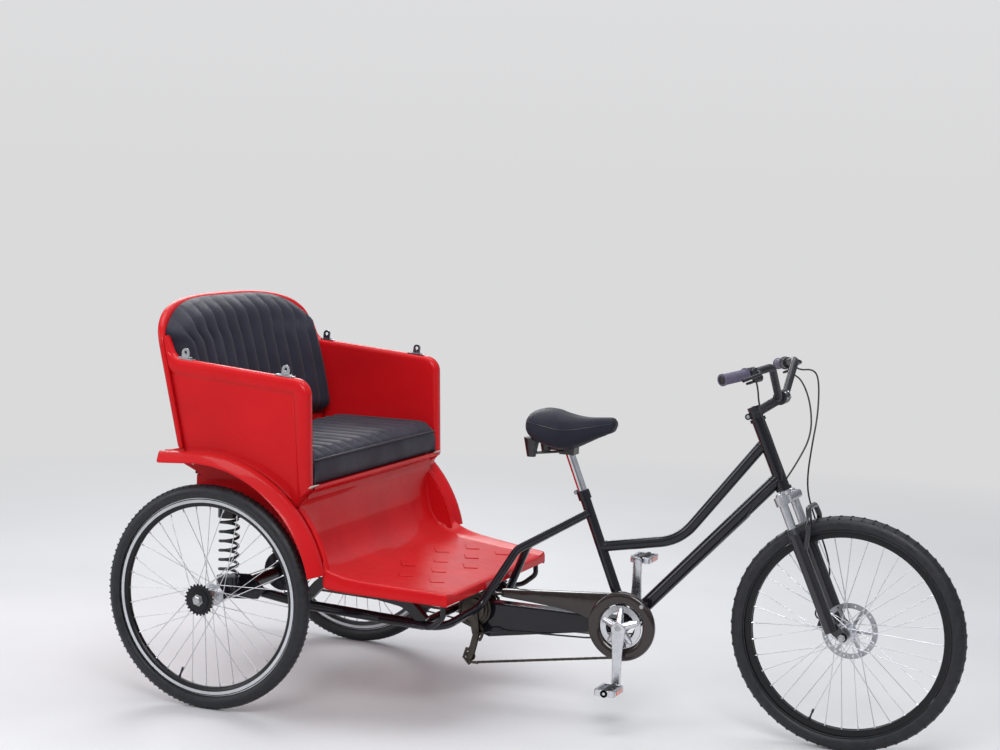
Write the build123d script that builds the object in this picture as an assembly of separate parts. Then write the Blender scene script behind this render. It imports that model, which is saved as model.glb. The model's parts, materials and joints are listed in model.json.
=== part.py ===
"""Cycle rickshaw: a three-wheeled pedal cab with a moulded two-seat body behind the rider.

Millimetres. X points forward, Y to the rider's left and Z up from the floor.
The origin is on the floor, under the middle of the vehicle's length and width.
Stations written as numbers along X are measured forward from the rear axle.
"""

import os
from math import cos, radians, sin, sqrt

from build123d import *

# Stance
wheelbase = 1766
track = 990
head_angle = 66
fork_offset = 23
running_gap = 0.3

# Wheels
rear_radius = 330
front_radius = 334
tyre_half_width = 23
tyre_foot_half = 17
tyre_bead_depth = 11
tyre_strips = ((0, 0.32), (0.3, 0.78))
rear_tyre_height = 39
front_tyre_height = 43
rim_depth = 26
rim_half_width = 12
rim_wall = 2
spoke_radius = 1.2
spoke_count = 36
spoke_lead = 62
rear_flange_radius = 32
front_flange_radius = 24
flange_thickness = 3
rear_flange_half = 30
front_flange_half = 28
rear_axle_radius = 9
axle_nut_radius = 12
axle_nut_reach = 68
front_axle_radius = 5
rotor_radius = 80
rotor_thickness = 2

# Body mouldings
side_outer = 470
side_skin = 18
bead_depth = 42
bead_width = 46
back_thickness = 22
back_lean = 0.24
back_bow = 46
back_station = -234
lean_datum = 1000
back_foot_drop = 52
arch_top = 1184
arch_rise = 46
arch_corner = 100
sill_height = 674
mould_thickness = 5
seat_pan_depth = 40

# Side panels: stations, with heights above the sill or below the backrest's top
armrest_peak_drop = 109
armrest_rear_station = -152
armrest_rear_rise = 341
armrest_front_station = 247
armrest_front_rise = 309
armrest_corner_station = 281
armrest_corner_rise = 295
side_front_station = 294
side_front_rise = 261
side_sill_station = 303
side_sill_rise = 8
side_join_angle = 46

# Fenders, struck about one centre over each rear wheel
fender_station = -30
fender_rise = 10
fender_clearance = 82
fender_lip_clearance = 57
fender_lip = 540
fender_shoulder = 478
fender_front_angle = 13
fender_tail = 127
fender_tail_drop = 8
housing_skirt_depth = 90

# Floor pan
pan_rear = 358
pan_front = 707
pan_rear_half = 468
pan_front_half = 385
pan_height = 412
pan_slope = 0.075
pan_skirt = 28
pan_lip = 8
pan_bend = (-29.4, 35)
pan_riser_rise = 133
pan_floor_start = 420
sill_overhang = 15
sill_lip = 10

# Cushions
cushion_half_width = 425
back_cushion_half_width = 455
seat_cushion_thickness = 96
seat_cushion_front = 300
seat_cushion_round = 18
back_cushion_thickness = 62
back_cushion_inset = 7

# Canopy brackets on the armrests
bracket_hole_radius = 5
bracket_thickness = 4
bracket_height = 32
bracket_foot = (56, 20, 3)
bracket_loop_width = 24
bracket_stations = (-120, 210)

# Bicycle frame
crank_station = 1118
crank_height = 288
seat_clamp_station = 966
seat_clamp_height = 661
seat_tube_radius = 15.5
seat_post_radius = 13.6
top_tube_radius = 16
down_tube_radius = 20
top_tube_share = 0.585
top_tube_bend = (1268, 549)
top_tube_bend_radius = 160
top_tube_head = 583
down_tube_head = 474
head_tube_radius = 19
head_cup_radius = 23
head_cup_height = 10
head_tube_low = 436
head_tube_high = 653
steerer_radius = 14.3
rail_radius = 15
stay_radius = 12
rail_half_spread = 300
rail_rear = (62, 318)
rail_bend = (232, 295)
rail_bend_radius = 200
rail_corner = (660, 277)
rail_share = 0.86
stay_overlap = 0.8
stay_points = ((694, -110, 306), (782, -44, 478), (994, -12.3, 606))
stay_bends = (60, 50, 50)
beam_width = 52
beam_edge = 6
cross_station = 580
cross_height = 275
cross_radius = 12
hoop_radius = 8
bearer_width = 24
bearer_depth = 30
bearer_points = ((206, 300), (279, 380), (550, 340), (604, 290))
bearer_bends = (50, 90)
strut_foot = (165, 306)
strut_head_station = 101
strut_width = 18
strut_depth = 24
shell_radius = 21
shell_half = 35

# Cranks and pedals
crank_length = 170
chainring_radius = 86
chainring_offset = 52
chain_width = 7
chain_height = 9
crank_offset = 78
crank_arm_half = 6.5
spindle_radius = 8
pedal_length = 92
pedal_width = 66
pedal_thickness = 20
pedal_gap = 10
pedal_spindle = 4.5

# Chains and gears: radius and offset of each cog on the jackshaft
jack_station = 655
jack_height = 285
jack_radius = 8
cog_table = ((50, 45), (42, chainring_offset), (34, 59))
front_sprocket_radius = 34
rear_sprocket_radius = 60
rear_chain_offset = 46
guide_pulley = (666, 218)
tension_pulley = (648, 142)
pulley_radius = 15

# Chain guard
guard_radius = 100
guard_window = 62
guard_face = -62
guard_back = -40
guard_wall = 2.5

# Rear suspension
axle_housing_radius = 24
gear_case_radius = 62
spring_offset = 380
spring_radius = 27
spring_wire = 4.5
spring_turns = 6
spring_seat_rise = 42
spring_cup_depth = 40
spring_cup_wall = 3
arch_half = 408
arch_bar = 40
arch_bar_height = 24
arch_post = 26
arch_post_rise = 46

# Steering
leg_spread = 62
leg_radius = 18
stanchion_radius = 13
lower_top = 312
crown_low = 400
crown_shoulder = 425
crown_high = 434
bar_radius = 11.1
clamp_point = (88, 0, 684)
riser_point = (128, 132, 771)
grip_inner_point = (88, 190, 773)
grip_outer_point = (33, 300, 782)
grip_radius = 15.5
grip_length = 92
lever_clamp = 10
lever_reach = 84
caliper_angle = 52
caliper_lug_radius = 5.5
caliper_lugs = (((-34, 49, 54), (0, 60, 74)), ((-44, 49, 38), (0, 60, 34)))

# Cables: steering points are fore, across and up, and frame points station, across and height
cable_radius = 2.5
cable_bend = 14
brake_hose_points = (
    (94, 209, 766.2), (104, 208, 742), (152, 198, 730), (160, 184, 695), (134, 132, 603), (96, 100, 530),
    (46, 90, 438), (30, 88, 370), (28, 87, 190), (-8, 90, 130), (-44, 80, 96), (-64, 50, 70), (-48.6, 46, 55.9))
shift_cable_points = (
    (88, 186, 761.2), (92, 180, 738), (130, 116, 712), (137, 88, 640), (118, 48, 556), (60, 8, 496), (25, -27, 466))
brake_cable_points = (
    (94, -209, 766.2), (92, -200, 738), (58, -150, 680), (46, -96, 590), (24, -38, 480), (12, -34, 466))

cable_head_across = 27
cable_head_up = 470
cable_slack = 2.2
cable_side_clip = 62
cable_first_clip = 150
cable_last_clip = 70
shift_cable_tail = (
    (1140, -30, 252), (1000, -29.5, 236), (744, -29.5, 226), (722, -52, 226), (706, -68.9, 224), (674, -68.9, 219))
brake_cable_tail = (
    (1140, 30, 252), (1000, 29.5, 236), (600, 29.5, 226), (300, 24, rear_radius - 68),
    (gear_case_radius - 0.8, 12, rear_radius - 12))

# Heights and stations that follow from the sizes above
rear_station = (rear_radius - wheelbase - front_radius) / 2
half_track = track / 2
rear_rim_outer = rear_radius - rear_tyre_height
front_rim_outer = front_radius - front_tyre_height
fender_height = rear_radius + fender_rise
fender_crown = rear_radius + fender_clearance
fender_lip_radius = rear_radius + fender_lip_clearance
housing_skirt = fender_crown - housing_skirt_depth
back_tail_height = fender_height + fender_crown
back_foot = back_tail_height - back_foot_drop
arch_shoulder = arch_top - arch_rise
armrest_peak = arch_top - armrest_peak_drop
armrest_rear = (armrest_rear_station, sill_height + armrest_rear_rise)
armrest_front = (armrest_front_station, sill_height + armrest_front_rise)
armrest_corner = (armrest_corner_station, sill_height + armrest_corner_rise)
side_front_top = (side_front_station, sill_height + side_front_rise)
side_front_sill = (side_sill_station, sill_height + side_sill_rise)
seat_cushion_top = sill_height + seat_cushion_thickness
arch_height = sill_height - seat_pan_depth - arch_post_rise
spring_high = arch_height - spring_cup_depth
spring_low = rear_radius + spring_seat_rise
beam_rear = cross_station + cross_radius + running_gap


def at(station, across, height):
    """A point given by its station forward of the rear axle."""
    return Vector(rear_station + station, across, height)


def rod(start, end, radius):
    """A round bar between two points."""
    start, end = Vector(*start), Vector(*end)
    run = end - start
    return Solid.make_cylinder(radius, run.length, Plane(origin=start, z_dir=run))


def across_bar(station, height, radius, near, far):
    """A round bar along Y."""
    return rod(at(station, near, height), at(station, far, height), radius)


def bent_tube(points, radius, bends):
    """A round tube along straight runs joined by tangent arcs."""
    if len(points) > 2:
        path = FilletPolyline(*points, radius=bends if isinstance(bends, (int, float)) else list(bends))
    else:
        path = Line(*points)
    section = Plane(origin=path @ 0, z_dir=path % 0) * Circle(radius)
    return sweep(section, path)


def bent_bar(points, width, depth, bends):
    """A rectangular bar along straight runs joined by tangent arcs in one upright plane."""
    path = FilletPolyline(*points, radius=list(bends))
    section = Plane(origin=path @ 0, x_dir=(0, 1, 0), z_dir=path % 0) * Rectangle(width, depth)
    return sweep(section, path)


def side_face(outline, across=0):
    """A face in an upright plane along the vehicle, facing the rider's right."""
    return Plane(origin=(0, across, 0), x_dir=(1, 0, 0), z_dir=(0, -1, 0)) * outline


def side_points(stations):
    """Turn station and height pairs into points of a side view."""
    return [(rear_station + station, height) for station, height in stations]


def mirrored(shape):
    """The same piece on the rider's left."""
    return mirror(shape, Plane.XZ)


def write(node, *shapes):
    """Write one node from its solids."""
    solids = [solid for shape in shapes for solid in shape.solids()]
    shape = solids[0] if len(solids) == 1 else Compound(children=solids)
    export_step(shape, f"parts/{node}.step")


# The steering axis and its own frame: x across the axis forward, y left, z up the axis
axis_lean = radians(head_angle)
axis_up = Vector(-cos(axis_lean), 0, sin(axis_lean))
axis_fore = Vector(sin(axis_lean), 0, cos(axis_lean))
front_axle = at(wheelbase, 0, front_radius)
axis_foot = front_axle - axis_fore * fork_offset
steer = Plane(origin=axis_foot, x_dir=axis_fore, z_dir=axis_up)


def steered(fore, across, up):
    """A point given in the steering axis's own frame."""
    return axis_foot + axis_fore * fore + Vector(0, across, 0) + axis_up * up


# Wheels, each drawn about the Y axis and then set in place
def ring(points):
    """Turn a closed outline of radius and offset pairs about the Y axis."""
    return revolve(make_face(Polyline(*points, close=True)), Axis.Y)


def tyre(radius, rim_outer):
    """An inflated tyre in flat strips, whose bead sits between the rim's walls."""
    seat = rim_outer + running_gap
    bead_half = rim_half_width - rim_wall - running_gap
    bead_foot = rim_outer - tyre_bead_depth
    middle = (radius + seat) / 2
    crown = [(radius - drop * (radius - middle), share * tyre_half_width) for drop, share in tyre_strips]
    wall = [(middle, tyre_half_width), (seat, tyre_foot_half), (seat, bead_half), (bead_foot, bead_half)]
    half = crown + wall
    return ring(half + [(reach, -across) for reach, across in reversed(half)])


def rim(rim_outer):
    """A channel section with a deep box under the tyre well."""
    inner = rim_outer - rim_depth
    well = rim_outer - 13
    slope = rim_outer - 18
    return ring([
        (inner, -7), (slope, -rim_half_width), (rim_outer, -rim_half_width),
        (rim_outer, rim_wall - rim_half_width), (well, rim_wall - rim_half_width),
        (well, rim_half_width - rim_wall), (rim_outer, rim_half_width - rim_wall),
        (rim_outer, rim_half_width), (slope, rim_half_width), (inner, 7),
    ])


def spokes(flange_radius, flange_half, rim_outer):
    """Spokes laced from two flanges, crossing their neighbours, to the rim's inner face."""
    bars = []
    reach = rim_outer - rim_depth - running_gap
    root = flange_radius + running_gap
    for index in range(spoke_count):
        side = 1 if index % 2 else -1
        lead = spoke_lead if index % 4 < 2 else -spoke_lead
        outer = radians(index * 360 / spoke_count)
        inner = outer + radians(lead)
        start = (root * cos(inner), side * flange_half, root * sin(inner))
        end = (reach * cos(outer), side * 2, reach * sin(outer))
        bars.append(rod(start, end, spoke_radius))
    return bars


def rear_hub():
    """A freewheeling hub with two drilled flanges on the axle's stub, nut outboard."""
    barrel = Cylinder(22, 2 * rear_flange_half, rotation=(90, 0, 0))
    hub = barrel
    for side in (-1, 1):
        hub += Pos(0, side * rear_flange_half, 0) * Cylinder(
            rear_flange_radius, flange_thickness, rotation=(90, 0, 0))
    bore = Cylinder(rear_axle_radius + running_gap, 4 * rear_flange_half, rotation=(90, 0, 0))
    return hub - bore


def front_hub():
    """The front hub, with the rotor's seat on the rider's left."""
    hub = Cylinder(16, 2 * front_flange_half, rotation=(90, 0, 0))
    for side in (-1, 1):
        hub += Pos(0, side * front_flange_half, 0) * Cylinder(
            front_flange_radius, flange_thickness, rotation=(90, 0, 0))
    hub += Pos(0, front_flange_half + 5, 0) * Cylinder(18, 10, rotation=(90, 0, 0))
    bore = Cylinder(front_axle_radius + running_gap, 4 * front_flange_half, rotation=(90, 0, 0))
    return hub - bore


def rotor():
    """A brake disc with an open spider between its track and its centre."""
    track_width = 15
    face = Circle(rotor_radius) - Circle(rotor_radius - track_width)
    for spoke in PolarLocations(0, 6):
        face += spoke * Pos(rotor_radius / 2, 0) * Rectangle(rotor_radius - 12, 9)
    face += Circle(20)
    for hole in PolarLocations(rotor_radius - track_width / 2, 18):
        face -= hole * Circle(2.6)
    face -= Circle(front_axle_radius + 3)
    return extrude(Plane.XZ * face, rotor_thickness / 2, both=True)


def write_wheels():
    rear_parts = {"tyre": tyre(rear_radius, rear_rim_outer), "rim": rim(rear_rim_outer)}
    hub = rear_hub()
    lacing = spokes(rear_flange_radius, rear_flange_half, rear_rim_outer)
    for name, side in (("right", -1), ("left", 1)):
        place = Pos(rear_station, side * half_track, rear_radius)
        for piece, shape in rear_parts.items():
            write(f"rear_{piece}_{name}", place * shape)
        write(f"rear_hub_{name}", place * hub, *[place * bar for bar in lacing])
    place = Pos(front_axle)
    write("front_tyre", place * tyre(front_radius, front_rim_outer))
    write("front_rim", place * rim(front_rim_outer))
    lacing = spokes(front_flange_radius, front_flange_half, front_rim_outer)
    write("front_hub", place * front_hub(), *[place * bar for bar in lacing])
    rotor_place = front_flange_half + 10 + running_gap + rotor_thickness / 2
    write("front_rotor", place * Pos(0, rotor_place, 0) * rotor())


# Passenger body
def back_x(height, across=0):
    """Station of the backrest's rear face."""
    return back_station - back_lean * (height - lean_datum) + back_bow * (across / side_outer) ** 2


def leaning_slab(rear_offset, front_offset, half_width, foot, top):
    """A bowed slab that leans back with the backrest, between two offsets from its rear face."""
    outline = []
    for offset in (rear_offset, front_offset):
        centre = rear_station + back_x(foot) + offset
        edge = rear_station + back_x(foot, half_width) + offset
        outline.append(((edge, -half_width), (centre, 0), (edge, half_width)))
    rear, front = outline
    face = make_face([
        ThreePointArc(*rear), Line(rear[2], front[2]), ThreePointArc(*front), Line(front[0], rear[0])])
    rise = top - foot
    return extrude(Plane.XY.offset(foot) * face, rise * sqrt(1 + back_lean ** 2), dir=(-back_lean, 0, 1))


def arch(half_width, foot, shoulder, top, corner):
    """A block whose front view is a door arch, running along the vehicle."""
    edges = [
        Line((-half_width, shoulder), (-half_width, foot)), Line((-half_width, foot), (half_width, foot)),
        Line((half_width, foot), (half_width, shoulder)),
        ThreePointArc((half_width, shoulder), (0, top), (-half_width, shoulder))]
    face = make_face(edges)
    face = fillet(face.vertices().group_by(Axis.Y)[-1], corner)
    front = Plane(origin=at(-500, 0, 0), x_dir=(0, 1, 0), z_dir=(1, 0, 0))
    return extrude(front * face, 600)


def back_panel():
    slab = leaning_slab(0, back_thickness, side_outer, back_foot, arch_top + 20)
    tail_space = Pos(at(0, 0, back_foot - 10)) * Box(
        2 * side_outer, 4 * side_outer, back_tail_height + running_gap - back_foot + 10,
        align=(Align.CENTER, Align.CENTER, Align.MIN))
    between = Pos(at(0, 0, 0)) * Box(
        4 * side_outer, 2 * (side_outer - bead_depth - running_gap), 4 * side_outer)
    slab = slab - (tail_space - between)
    return slab & arch(side_outer, back_foot, arch_shoulder, arch_top, arch_corner)


def side_outline(inset):
    """The armrest's top and front edge, as edges, at an inset from the outer line."""
    drop = inset
    rear = back_x(armrest_peak, side_outer) + back_thickness + 1
    top = [
        Line((rear, armrest_peak - drop), (armrest_rear[0], armrest_rear[1] - drop)),
        Line((armrest_rear[0], armrest_rear[1] - drop), (armrest_front[0], armrest_front[1] - drop))]
    corner = ThreePointArc(
        (armrest_front[0], armrest_front[1] - drop),
        (armrest_corner[0] - drop * sqrt(0.5), armrest_corner[1] - drop * sqrt(0.5)),
        (side_front_top[0] - drop, side_front_top[1]))
    return top + [corner]


def side_panel():
    """The right side: a double skin with a rounded bead round its top and front edges."""
    seam = running_gap
    rear_top = back_x(armrest_peak, side_outer) + back_thickness + 1
    rear_foot = back_x(back_tail_height, side_outer) + back_thickness + 1
    crown = fender_crown + seam
    crown_top = (fender_station, fender_height + crown)
    middle_angle = radians((90 + side_join_angle) / 2)
    crown_middle = (
        fender_station + crown * cos(middle_angle), fender_height + crown * sin(middle_angle))
    foot_angle = radians(side_join_angle)
    crown_foot = (fender_station + crown * cos(foot_angle), fender_height + crown * sin(foot_angle))
    edges = side_outline(0) + [
        Line(side_front_top, side_front_sill),
        Line(side_front_sill, crown_foot),
        ThreePointArc(crown_foot, crown_middle, crown_top),
        Line(crown_top, (rear_foot, fender_height + crown)),
        Line((rear_foot, fender_height + crown), (rear_top, armrest_peak))]
    field = Pos(rear_station, 0) * make_face(edges)
    skin_face = side_outer - (bead_depth - side_skin) / 2
    skin = extrude(side_face(field, -skin_face), -side_skin)
    inner = side_outline(bead_width) + [
        Line((side_front_top[0] - bead_width, side_front_top[1]),
             (side_front_sill[0] - bead_width, side_front_sill[1])),
        Line((side_front_sill[0] - bead_width, side_front_sill[1]),
             (side_front_sill[0] - bead_width, 0)),
        Line((side_front_sill[0] - bead_width, 0), (rear_top, 0)),
        Line((rear_top, 0), (rear_top, armrest_peak - bead_width))]
    hollow = Pos(rear_station, 0) * make_face(inner)
    band = extrude(side_face(field - hollow, -side_outer), -bead_depth)
    return skin + band


def fender_section():
    """The fender's shell across the vehicle, as radius and offset from the middle plane."""
    inner = side_outer - bead_depth
    wall = mould_thickness
    outer_bulge = (fender_crown - 8, -(fender_lip + fender_shoulder) / 2 - 8)
    edges = [
        Line((fender_crown, -inner), (fender_crown, -fender_shoulder)),
        ThreePointArc((fender_crown, -fender_shoulder), outer_bulge, (fender_lip_radius, -fender_lip)),
        Line((fender_lip_radius, -fender_lip), (fender_lip_radius, wall - fender_lip)),
        ThreePointArc(
            (fender_lip_radius, wall - fender_lip),
            (outer_bulge[0] - wall, outer_bulge[1] + wall),
            (fender_crown - wall, -fender_shoulder)),
        Line((fender_crown - wall, -fender_shoulder), (fender_crown - wall, -inner - wall)),
        Line((fender_crown - wall, -inner - wall), (housing_skirt, -inner - wall)),
        Line((housing_skirt, -inner - wall), (housing_skirt, -inner)),
        Line((housing_skirt, -inner), (fender_crown, -inner))]
    return make_face(edges)


def fender():
    """The right fender: an arched shell over the wheel, with a straight tail behind."""
    face = fender_section()
    centre = Vector(rear_station + fender_station, 0, fender_height)
    upright = Plane(origin=centre, x_dir=(0, 0, 1), z_dir=(-1, 0, 0))
    section = upright * face
    sweep_angle = 90 - fender_front_angle
    arched = revolve(section, Axis(centre, (0, 1, 0)), sweep_angle)
    tail_run = sqrt(fender_tail ** 2 + fender_tail_drop ** 2)
    tail = extrude(section, tail_run, dir=(-fender_tail, 0, -fender_tail_drop))
    return arched + tail


def seat_pan():
    """The flat tray under the seat cushion, with turned-down edges."""
    rear = back_x(sill_height) + back_thickness + back_bow + 2
    front = side_front_sill[0] - sill_overhang - mould_thickness - running_gap
    half_width = side_outer - bead_depth - running_gap
    length = front - rear
    top = Pos(rear_station + rear + length / 2, 0, sill_height - running_gap)
    plate = Box(length, 2 * half_width, seat_pan_depth, align=(Align.CENTER, Align.CENTER, Align.MAX))
    void = Pos(0, 0, -mould_thickness) * Box(
        length - 2 * mould_thickness, 2 * (half_width - mould_thickness), seat_pan_depth,
        align=(Align.CENTER, Align.CENTER, Align.MAX))
    return top * (plate - void)


def pan_floor_height(station):
    return pan_height - pan_slope * (station - pan_rear)


def floor_pan():
    """The seat's front wall, flowing into a tapered foot tray with a turned-down skirt."""
    wall = mould_thickness
    lip_front = side_front_sill[0] + running_gap
    riser_station = side_front_sill[0] - sill_overhang
    riser_head = (riser_station, sill_height - sill_lip - sill_overhang)
    riser_foot = (riser_station, pan_height + pan_riser_rise)
    bend = (pan_rear + pan_bend[0], pan_height + pan_bend[1])
    floor_start = (pan_floor_start, pan_floor_height(pan_floor_start))
    floor_end = (pan_front, pan_floor_height(pan_front))
    half_width = side_outer - bead_depth - running_gap
    edges = [
        Line((riser_station - wall, sill_height), (lip_front, sill_height)),
        Line((lip_front, sill_height), (lip_front, sill_height - sill_lip)),
        Line((lip_front, sill_height - sill_lip), riser_head),
        Line(riser_head, riser_foot),
        ThreePointArc(riser_foot, bend, floor_start),
        Line(floor_start, floor_end),
        Line(floor_end, (floor_end[0], floor_end[1] - wall)),
        Line((floor_end[0], floor_end[1] - wall), (floor_start[0], floor_start[1] - wall)),
        ThreePointArc(
            (floor_start[0], floor_start[1] - wall), (bend[0] - 4, bend[1] - 4),
            (riser_foot[0] - wall, riser_foot[1])),
        Line((riser_foot[0] - wall, riser_foot[1]), (riser_station - wall, sill_height))]
    sheet = extrude(side_face(Pos(rear_station, 0) * make_face(edges)), pan_rear_half + 40, both=True)
    plan = make_face(Polyline(
        at(pan_rear, -pan_rear_half, 0), at(pan_front, -pan_front_half, 0),
        at(pan_front, pan_front_half, 0), at(pan_rear, pan_rear_half, 0), close=True))
    narrow = Pos(at(200, 0, 0)) * Rectangle(300, 2 * half_width, align=(Align.MIN, Align.CENTER))
    outline = extrude(plan, pan_height + pan_lip) + extrude(narrow, sill_height)
    tray = extrude(plan, sill_height)
    hollow = extrude(offset(plan, -wall), sill_height)
    skirt_side = make_face(Polyline(*side_points([
        (pan_rear - 1, pan_height + pan_lip), (pan_front + 1, pan_floor_height(pan_front) + pan_lip),
        (pan_front + 1, pan_floor_height(pan_front) - pan_skirt + pan_lip),
        (pan_rear - 1, pan_height - pan_skirt + pan_lip)]), close=True))
    skirt = (tray - hollow) & extrude(side_face(skirt_side), pan_rear_half + 40, both=True)
    return (sheet & outline) + skirt


def seat_cushion():
    rear = back_x(sill_height, cushion_half_width) + back_thickness + 1
    length = seat_cushion_front - rear
    height = seat_cushion_top - sill_height - running_gap
    block = Box(length, 2 * cushion_half_width, height,
                align=(Align.MIN, Align.CENTER, Align.MIN))
    block = fillet(block.edges().group_by(Axis.Z)[-1], seat_cushion_round)
    return Pos(rear_station + rear, 0, sill_height + running_gap) * block


def back_cushion():
    """A bowed pad that widens to the shell's rim above the armrests."""
    foot = seat_cushion_top + 1
    slab = leaning_slab(
        back_thickness + running_gap, back_thickness + back_cushion_thickness,
        back_cushion_half_width, foot, arch_top)
    pad = slab & arch(back_cushion_half_width, foot, arch_shoulder - back_cushion_inset,
                      arch_top - back_cushion_inset, arch_corner - back_cushion_inset)
    beside = Pos(at(0, 0, armrest_peak + 3)) * Box(
        4 * side_outer, 4 * side_outer, armrest_peak, align=(Align.CENTER, Align.CENTER, Align.MAX))
    between = Pos(at(0, 0, 0)) * Box(4 * side_outer, 2 * cushion_half_width, 4 * armrest_peak)
    return pad - (beside - between)


armrest_slope = (armrest_rear[1] - armrest_front[1]) / (armrest_front[0] - armrest_rear[0])


def canopy_bracket(station):
    """A bent strip: a flat foot screwed to the armrest and an upright drilled loop."""
    foot_length, foot_width, foot_thickness = bracket_foot
    foot = Box(foot_length, foot_width, foot_thickness, align=(Align.CENTER, Align.CENTER, Align.MIN))
    eye_height = bracket_height - bracket_loop_width / 2
    loop = Pos(0, 0, foot_thickness) * Box(
        bracket_loop_width, bracket_thickness, eye_height - foot_thickness,
        align=(Align.CENTER, Align.CENTER, Align.MIN))
    loop += Pos(0, 0, eye_height) * Cylinder(bracket_loop_width / 2, bracket_thickness, rotation=(90, 0, 0))
    loop -= Pos(0, 0, eye_height) * Cylinder(bracket_hole_radius, foot_width, rotation=(90, 0, 0))
    height = armrest_rear[1] - armrest_slope * (station - armrest_rear[0])
    seat = Plane(
        origin=at(station, bead_depth / 2 - side_outer, height + running_gap),
        x_dir=(1, 0, -armrest_slope), z_dir=(armrest_slope, 0, 1))
    return seat * (foot + loop)


def write_body():
    panel = side_panel()
    arch_shell = fender()
    write("back_panel", back_panel())
    write("side_panel_right", panel)
    write("side_panel_left", mirrored(panel))
    write("fender_right", arch_shell)
    write("fender_left", mirrored(arch_shell))
    write("seat_pan", seat_pan())
    write("floor_pan", floor_pan())
    write("seat_cushion", seat_cushion())
    write("back_cushion", back_cushion())
    brackets = [canopy_bracket(station) for station in bracket_stations]
    write("canopy_brackets", *brackets, *[mirrored(bracket) for bracket in brackets])


# Frame
shell_centre = at(crank_station, 0, crank_height)
seat_clamp = at(seat_clamp_station, 0, seat_clamp_height)
seat_run = (seat_clamp - shell_centre).normalized()


def head_tube():
    tube = steer * Pos(0, 0, head_tube_low) * Cylinder(
        head_tube_radius, head_tube_high - head_tube_low, align=(Align.CENTER, Align.CENTER, Align.MIN))
    for station in (head_tube_low, head_tube_high - head_cup_height):
        tube += steer * Pos(0, 0, station) * Cylinder(
            head_cup_radius, head_cup_height, align=(Align.CENTER, Align.CENTER, Align.MIN))
    bore = steer * Pos(0, 0, head_tube_low - 10) * Cylinder(
        steerer_radius + running_gap, head_tube_high, align=(Align.CENTER, Align.CENTER, Align.MIN))
    return tube - bore


def head_envelope():
    """The head tube's outside, grown by the seam left at each mitred joint."""
    length = head_tube_high - head_tube_low
    tube = Pos(0, 0, head_tube_low) * Cylinder(
        head_tube_radius + running_gap, length, align=(Align.CENTER, Align.CENTER, Align.MIN))
    for station in (head_tube_low, head_tube_high - head_cup_height):
        tube += Pos(0, 0, station - running_gap) * Cylinder(
            head_cup_radius + running_gap, head_cup_height + 2 * running_gap,
            align=(Align.CENTER, Align.CENTER, Align.MIN))
    return steer * tube


def seat_envelope():
    return rod(shell_centre, seat_clamp, seat_tube_radius + running_gap)


def shell_envelope():
    return across_bar(crank_station, crank_height, shell_radius + running_gap, -2 * shell_half, 2 * shell_half)


def write_frame():
    seat_tube = rod(shell_centre, seat_clamp, seat_tube_radius)
    collar = rod(seat_clamp - seat_run * 22, seat_clamp + seat_run * 2, seat_tube_radius + 4)
    post_bore = rod(seat_clamp - seat_run * 120, seat_clamp + seat_run * 10, seat_post_radius + 0.1)
    write("seat_tube", seat_tube + collar - shell_envelope() - post_bore)

    start = shell_centre + (seat_clamp - shell_centre) * top_tube_share
    top_path = [start, at(top_tube_bend[0], 0, top_tube_bend[1]), steered(0, 0, top_tube_head)]
    top_tube = bent_tube(top_path, top_tube_radius, top_tube_bend_radius) - head_envelope() - seat_envelope()
    write("top_tube", max(top_tube.solids(), key=lambda solid: solid.volume))

    down_tube = rod(shell_centre, steered(0, 0, down_tube_head), down_tube_radius)
    down_tube = down_tube - head_envelope() - shell_envelope() - seat_envelope()
    write("down_tube", max(down_tube.solids(), key=lambda solid: solid.volume))

    write("head_tube", head_tube())

    shell = across_bar(crank_station, crank_height, shell_radius, -shell_half, shell_half)
    write("bottom_bracket", shell - across_bar(
        crank_station, crank_height, spindle_radius + running_gap, -2 * shell_half, 2 * shell_half))

    beam_outline = Polyline(*side_points([
        (crank_station, 262), (crank_station, 304), (700, 306), (beam_rear, 304),
        (beam_rear, 236), (692, 200), (1000, 250)]), close=True)
    beam = extrude(side_face(make_face(beam_outline)), beam_width / 2, both=True)
    beam = fillet(beam.edges().filter_by(GeomType.LINE).filter_by(
        lambda edge: abs(edge.center().Y) > beam_width / 2 - 0.01), beam_edge)
    beam = beam - shell_envelope() - seat_envelope() - across_bar(
        jack_station, jack_height, jack_radius + running_gap, -beam_width, beam_width)
    write("rear_beam", max(beam.solids(), key=lambda solid: solid.volume))

    rail = side_rail()
    write("side_rail_right", rail)
    write("side_rail_left", mirrored(rail))
    write("cross_tube", cross_tube())
    hoop = tray_hoop()
    write("tray_hoops", hoop, mirrored(hoop))
    bearers = [body_bearer(), body_strut()]
    write("body_bearers", *bearers, *[mirrored(bearer) for bearer in bearers])


def side_rail(seam=0):
    """The right rail: from the axle forward under the body, then in and up to the seat tube."""
    rear = at(rail_rear[0], -rail_half_spread, rail_rear[1])
    bend = at(rail_bend[0], -rail_half_spread, rail_bend[1])
    corner = at(rail_corner[0], -rail_half_spread, rail_corner[1])
    stay_start = bend + (corner - bend) * stay_overlap
    rail_end = bend + (corner - bend) * rail_share
    stay_path = [stay_start, corner, *[at(*point) for point in stay_points]]
    stay = bent_tube(stay_path, stay_radius + seam, stay_bends)
    rail = bent_tube([rear, bend, rail_end], rail_radius + seam, [rail_bend_radius])
    return max(((rail + stay) - seat_envelope()).solids(), key=lambda solid: solid.volume)


def cross_tube():
    """The round member that ties the rails and carries the beam's rear end."""
    half = rail_half_spread - rail_radius - running_gap
    return rod(at(cross_station, -half, cross_height), at(cross_station, half, cross_height), cross_radius)


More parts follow.
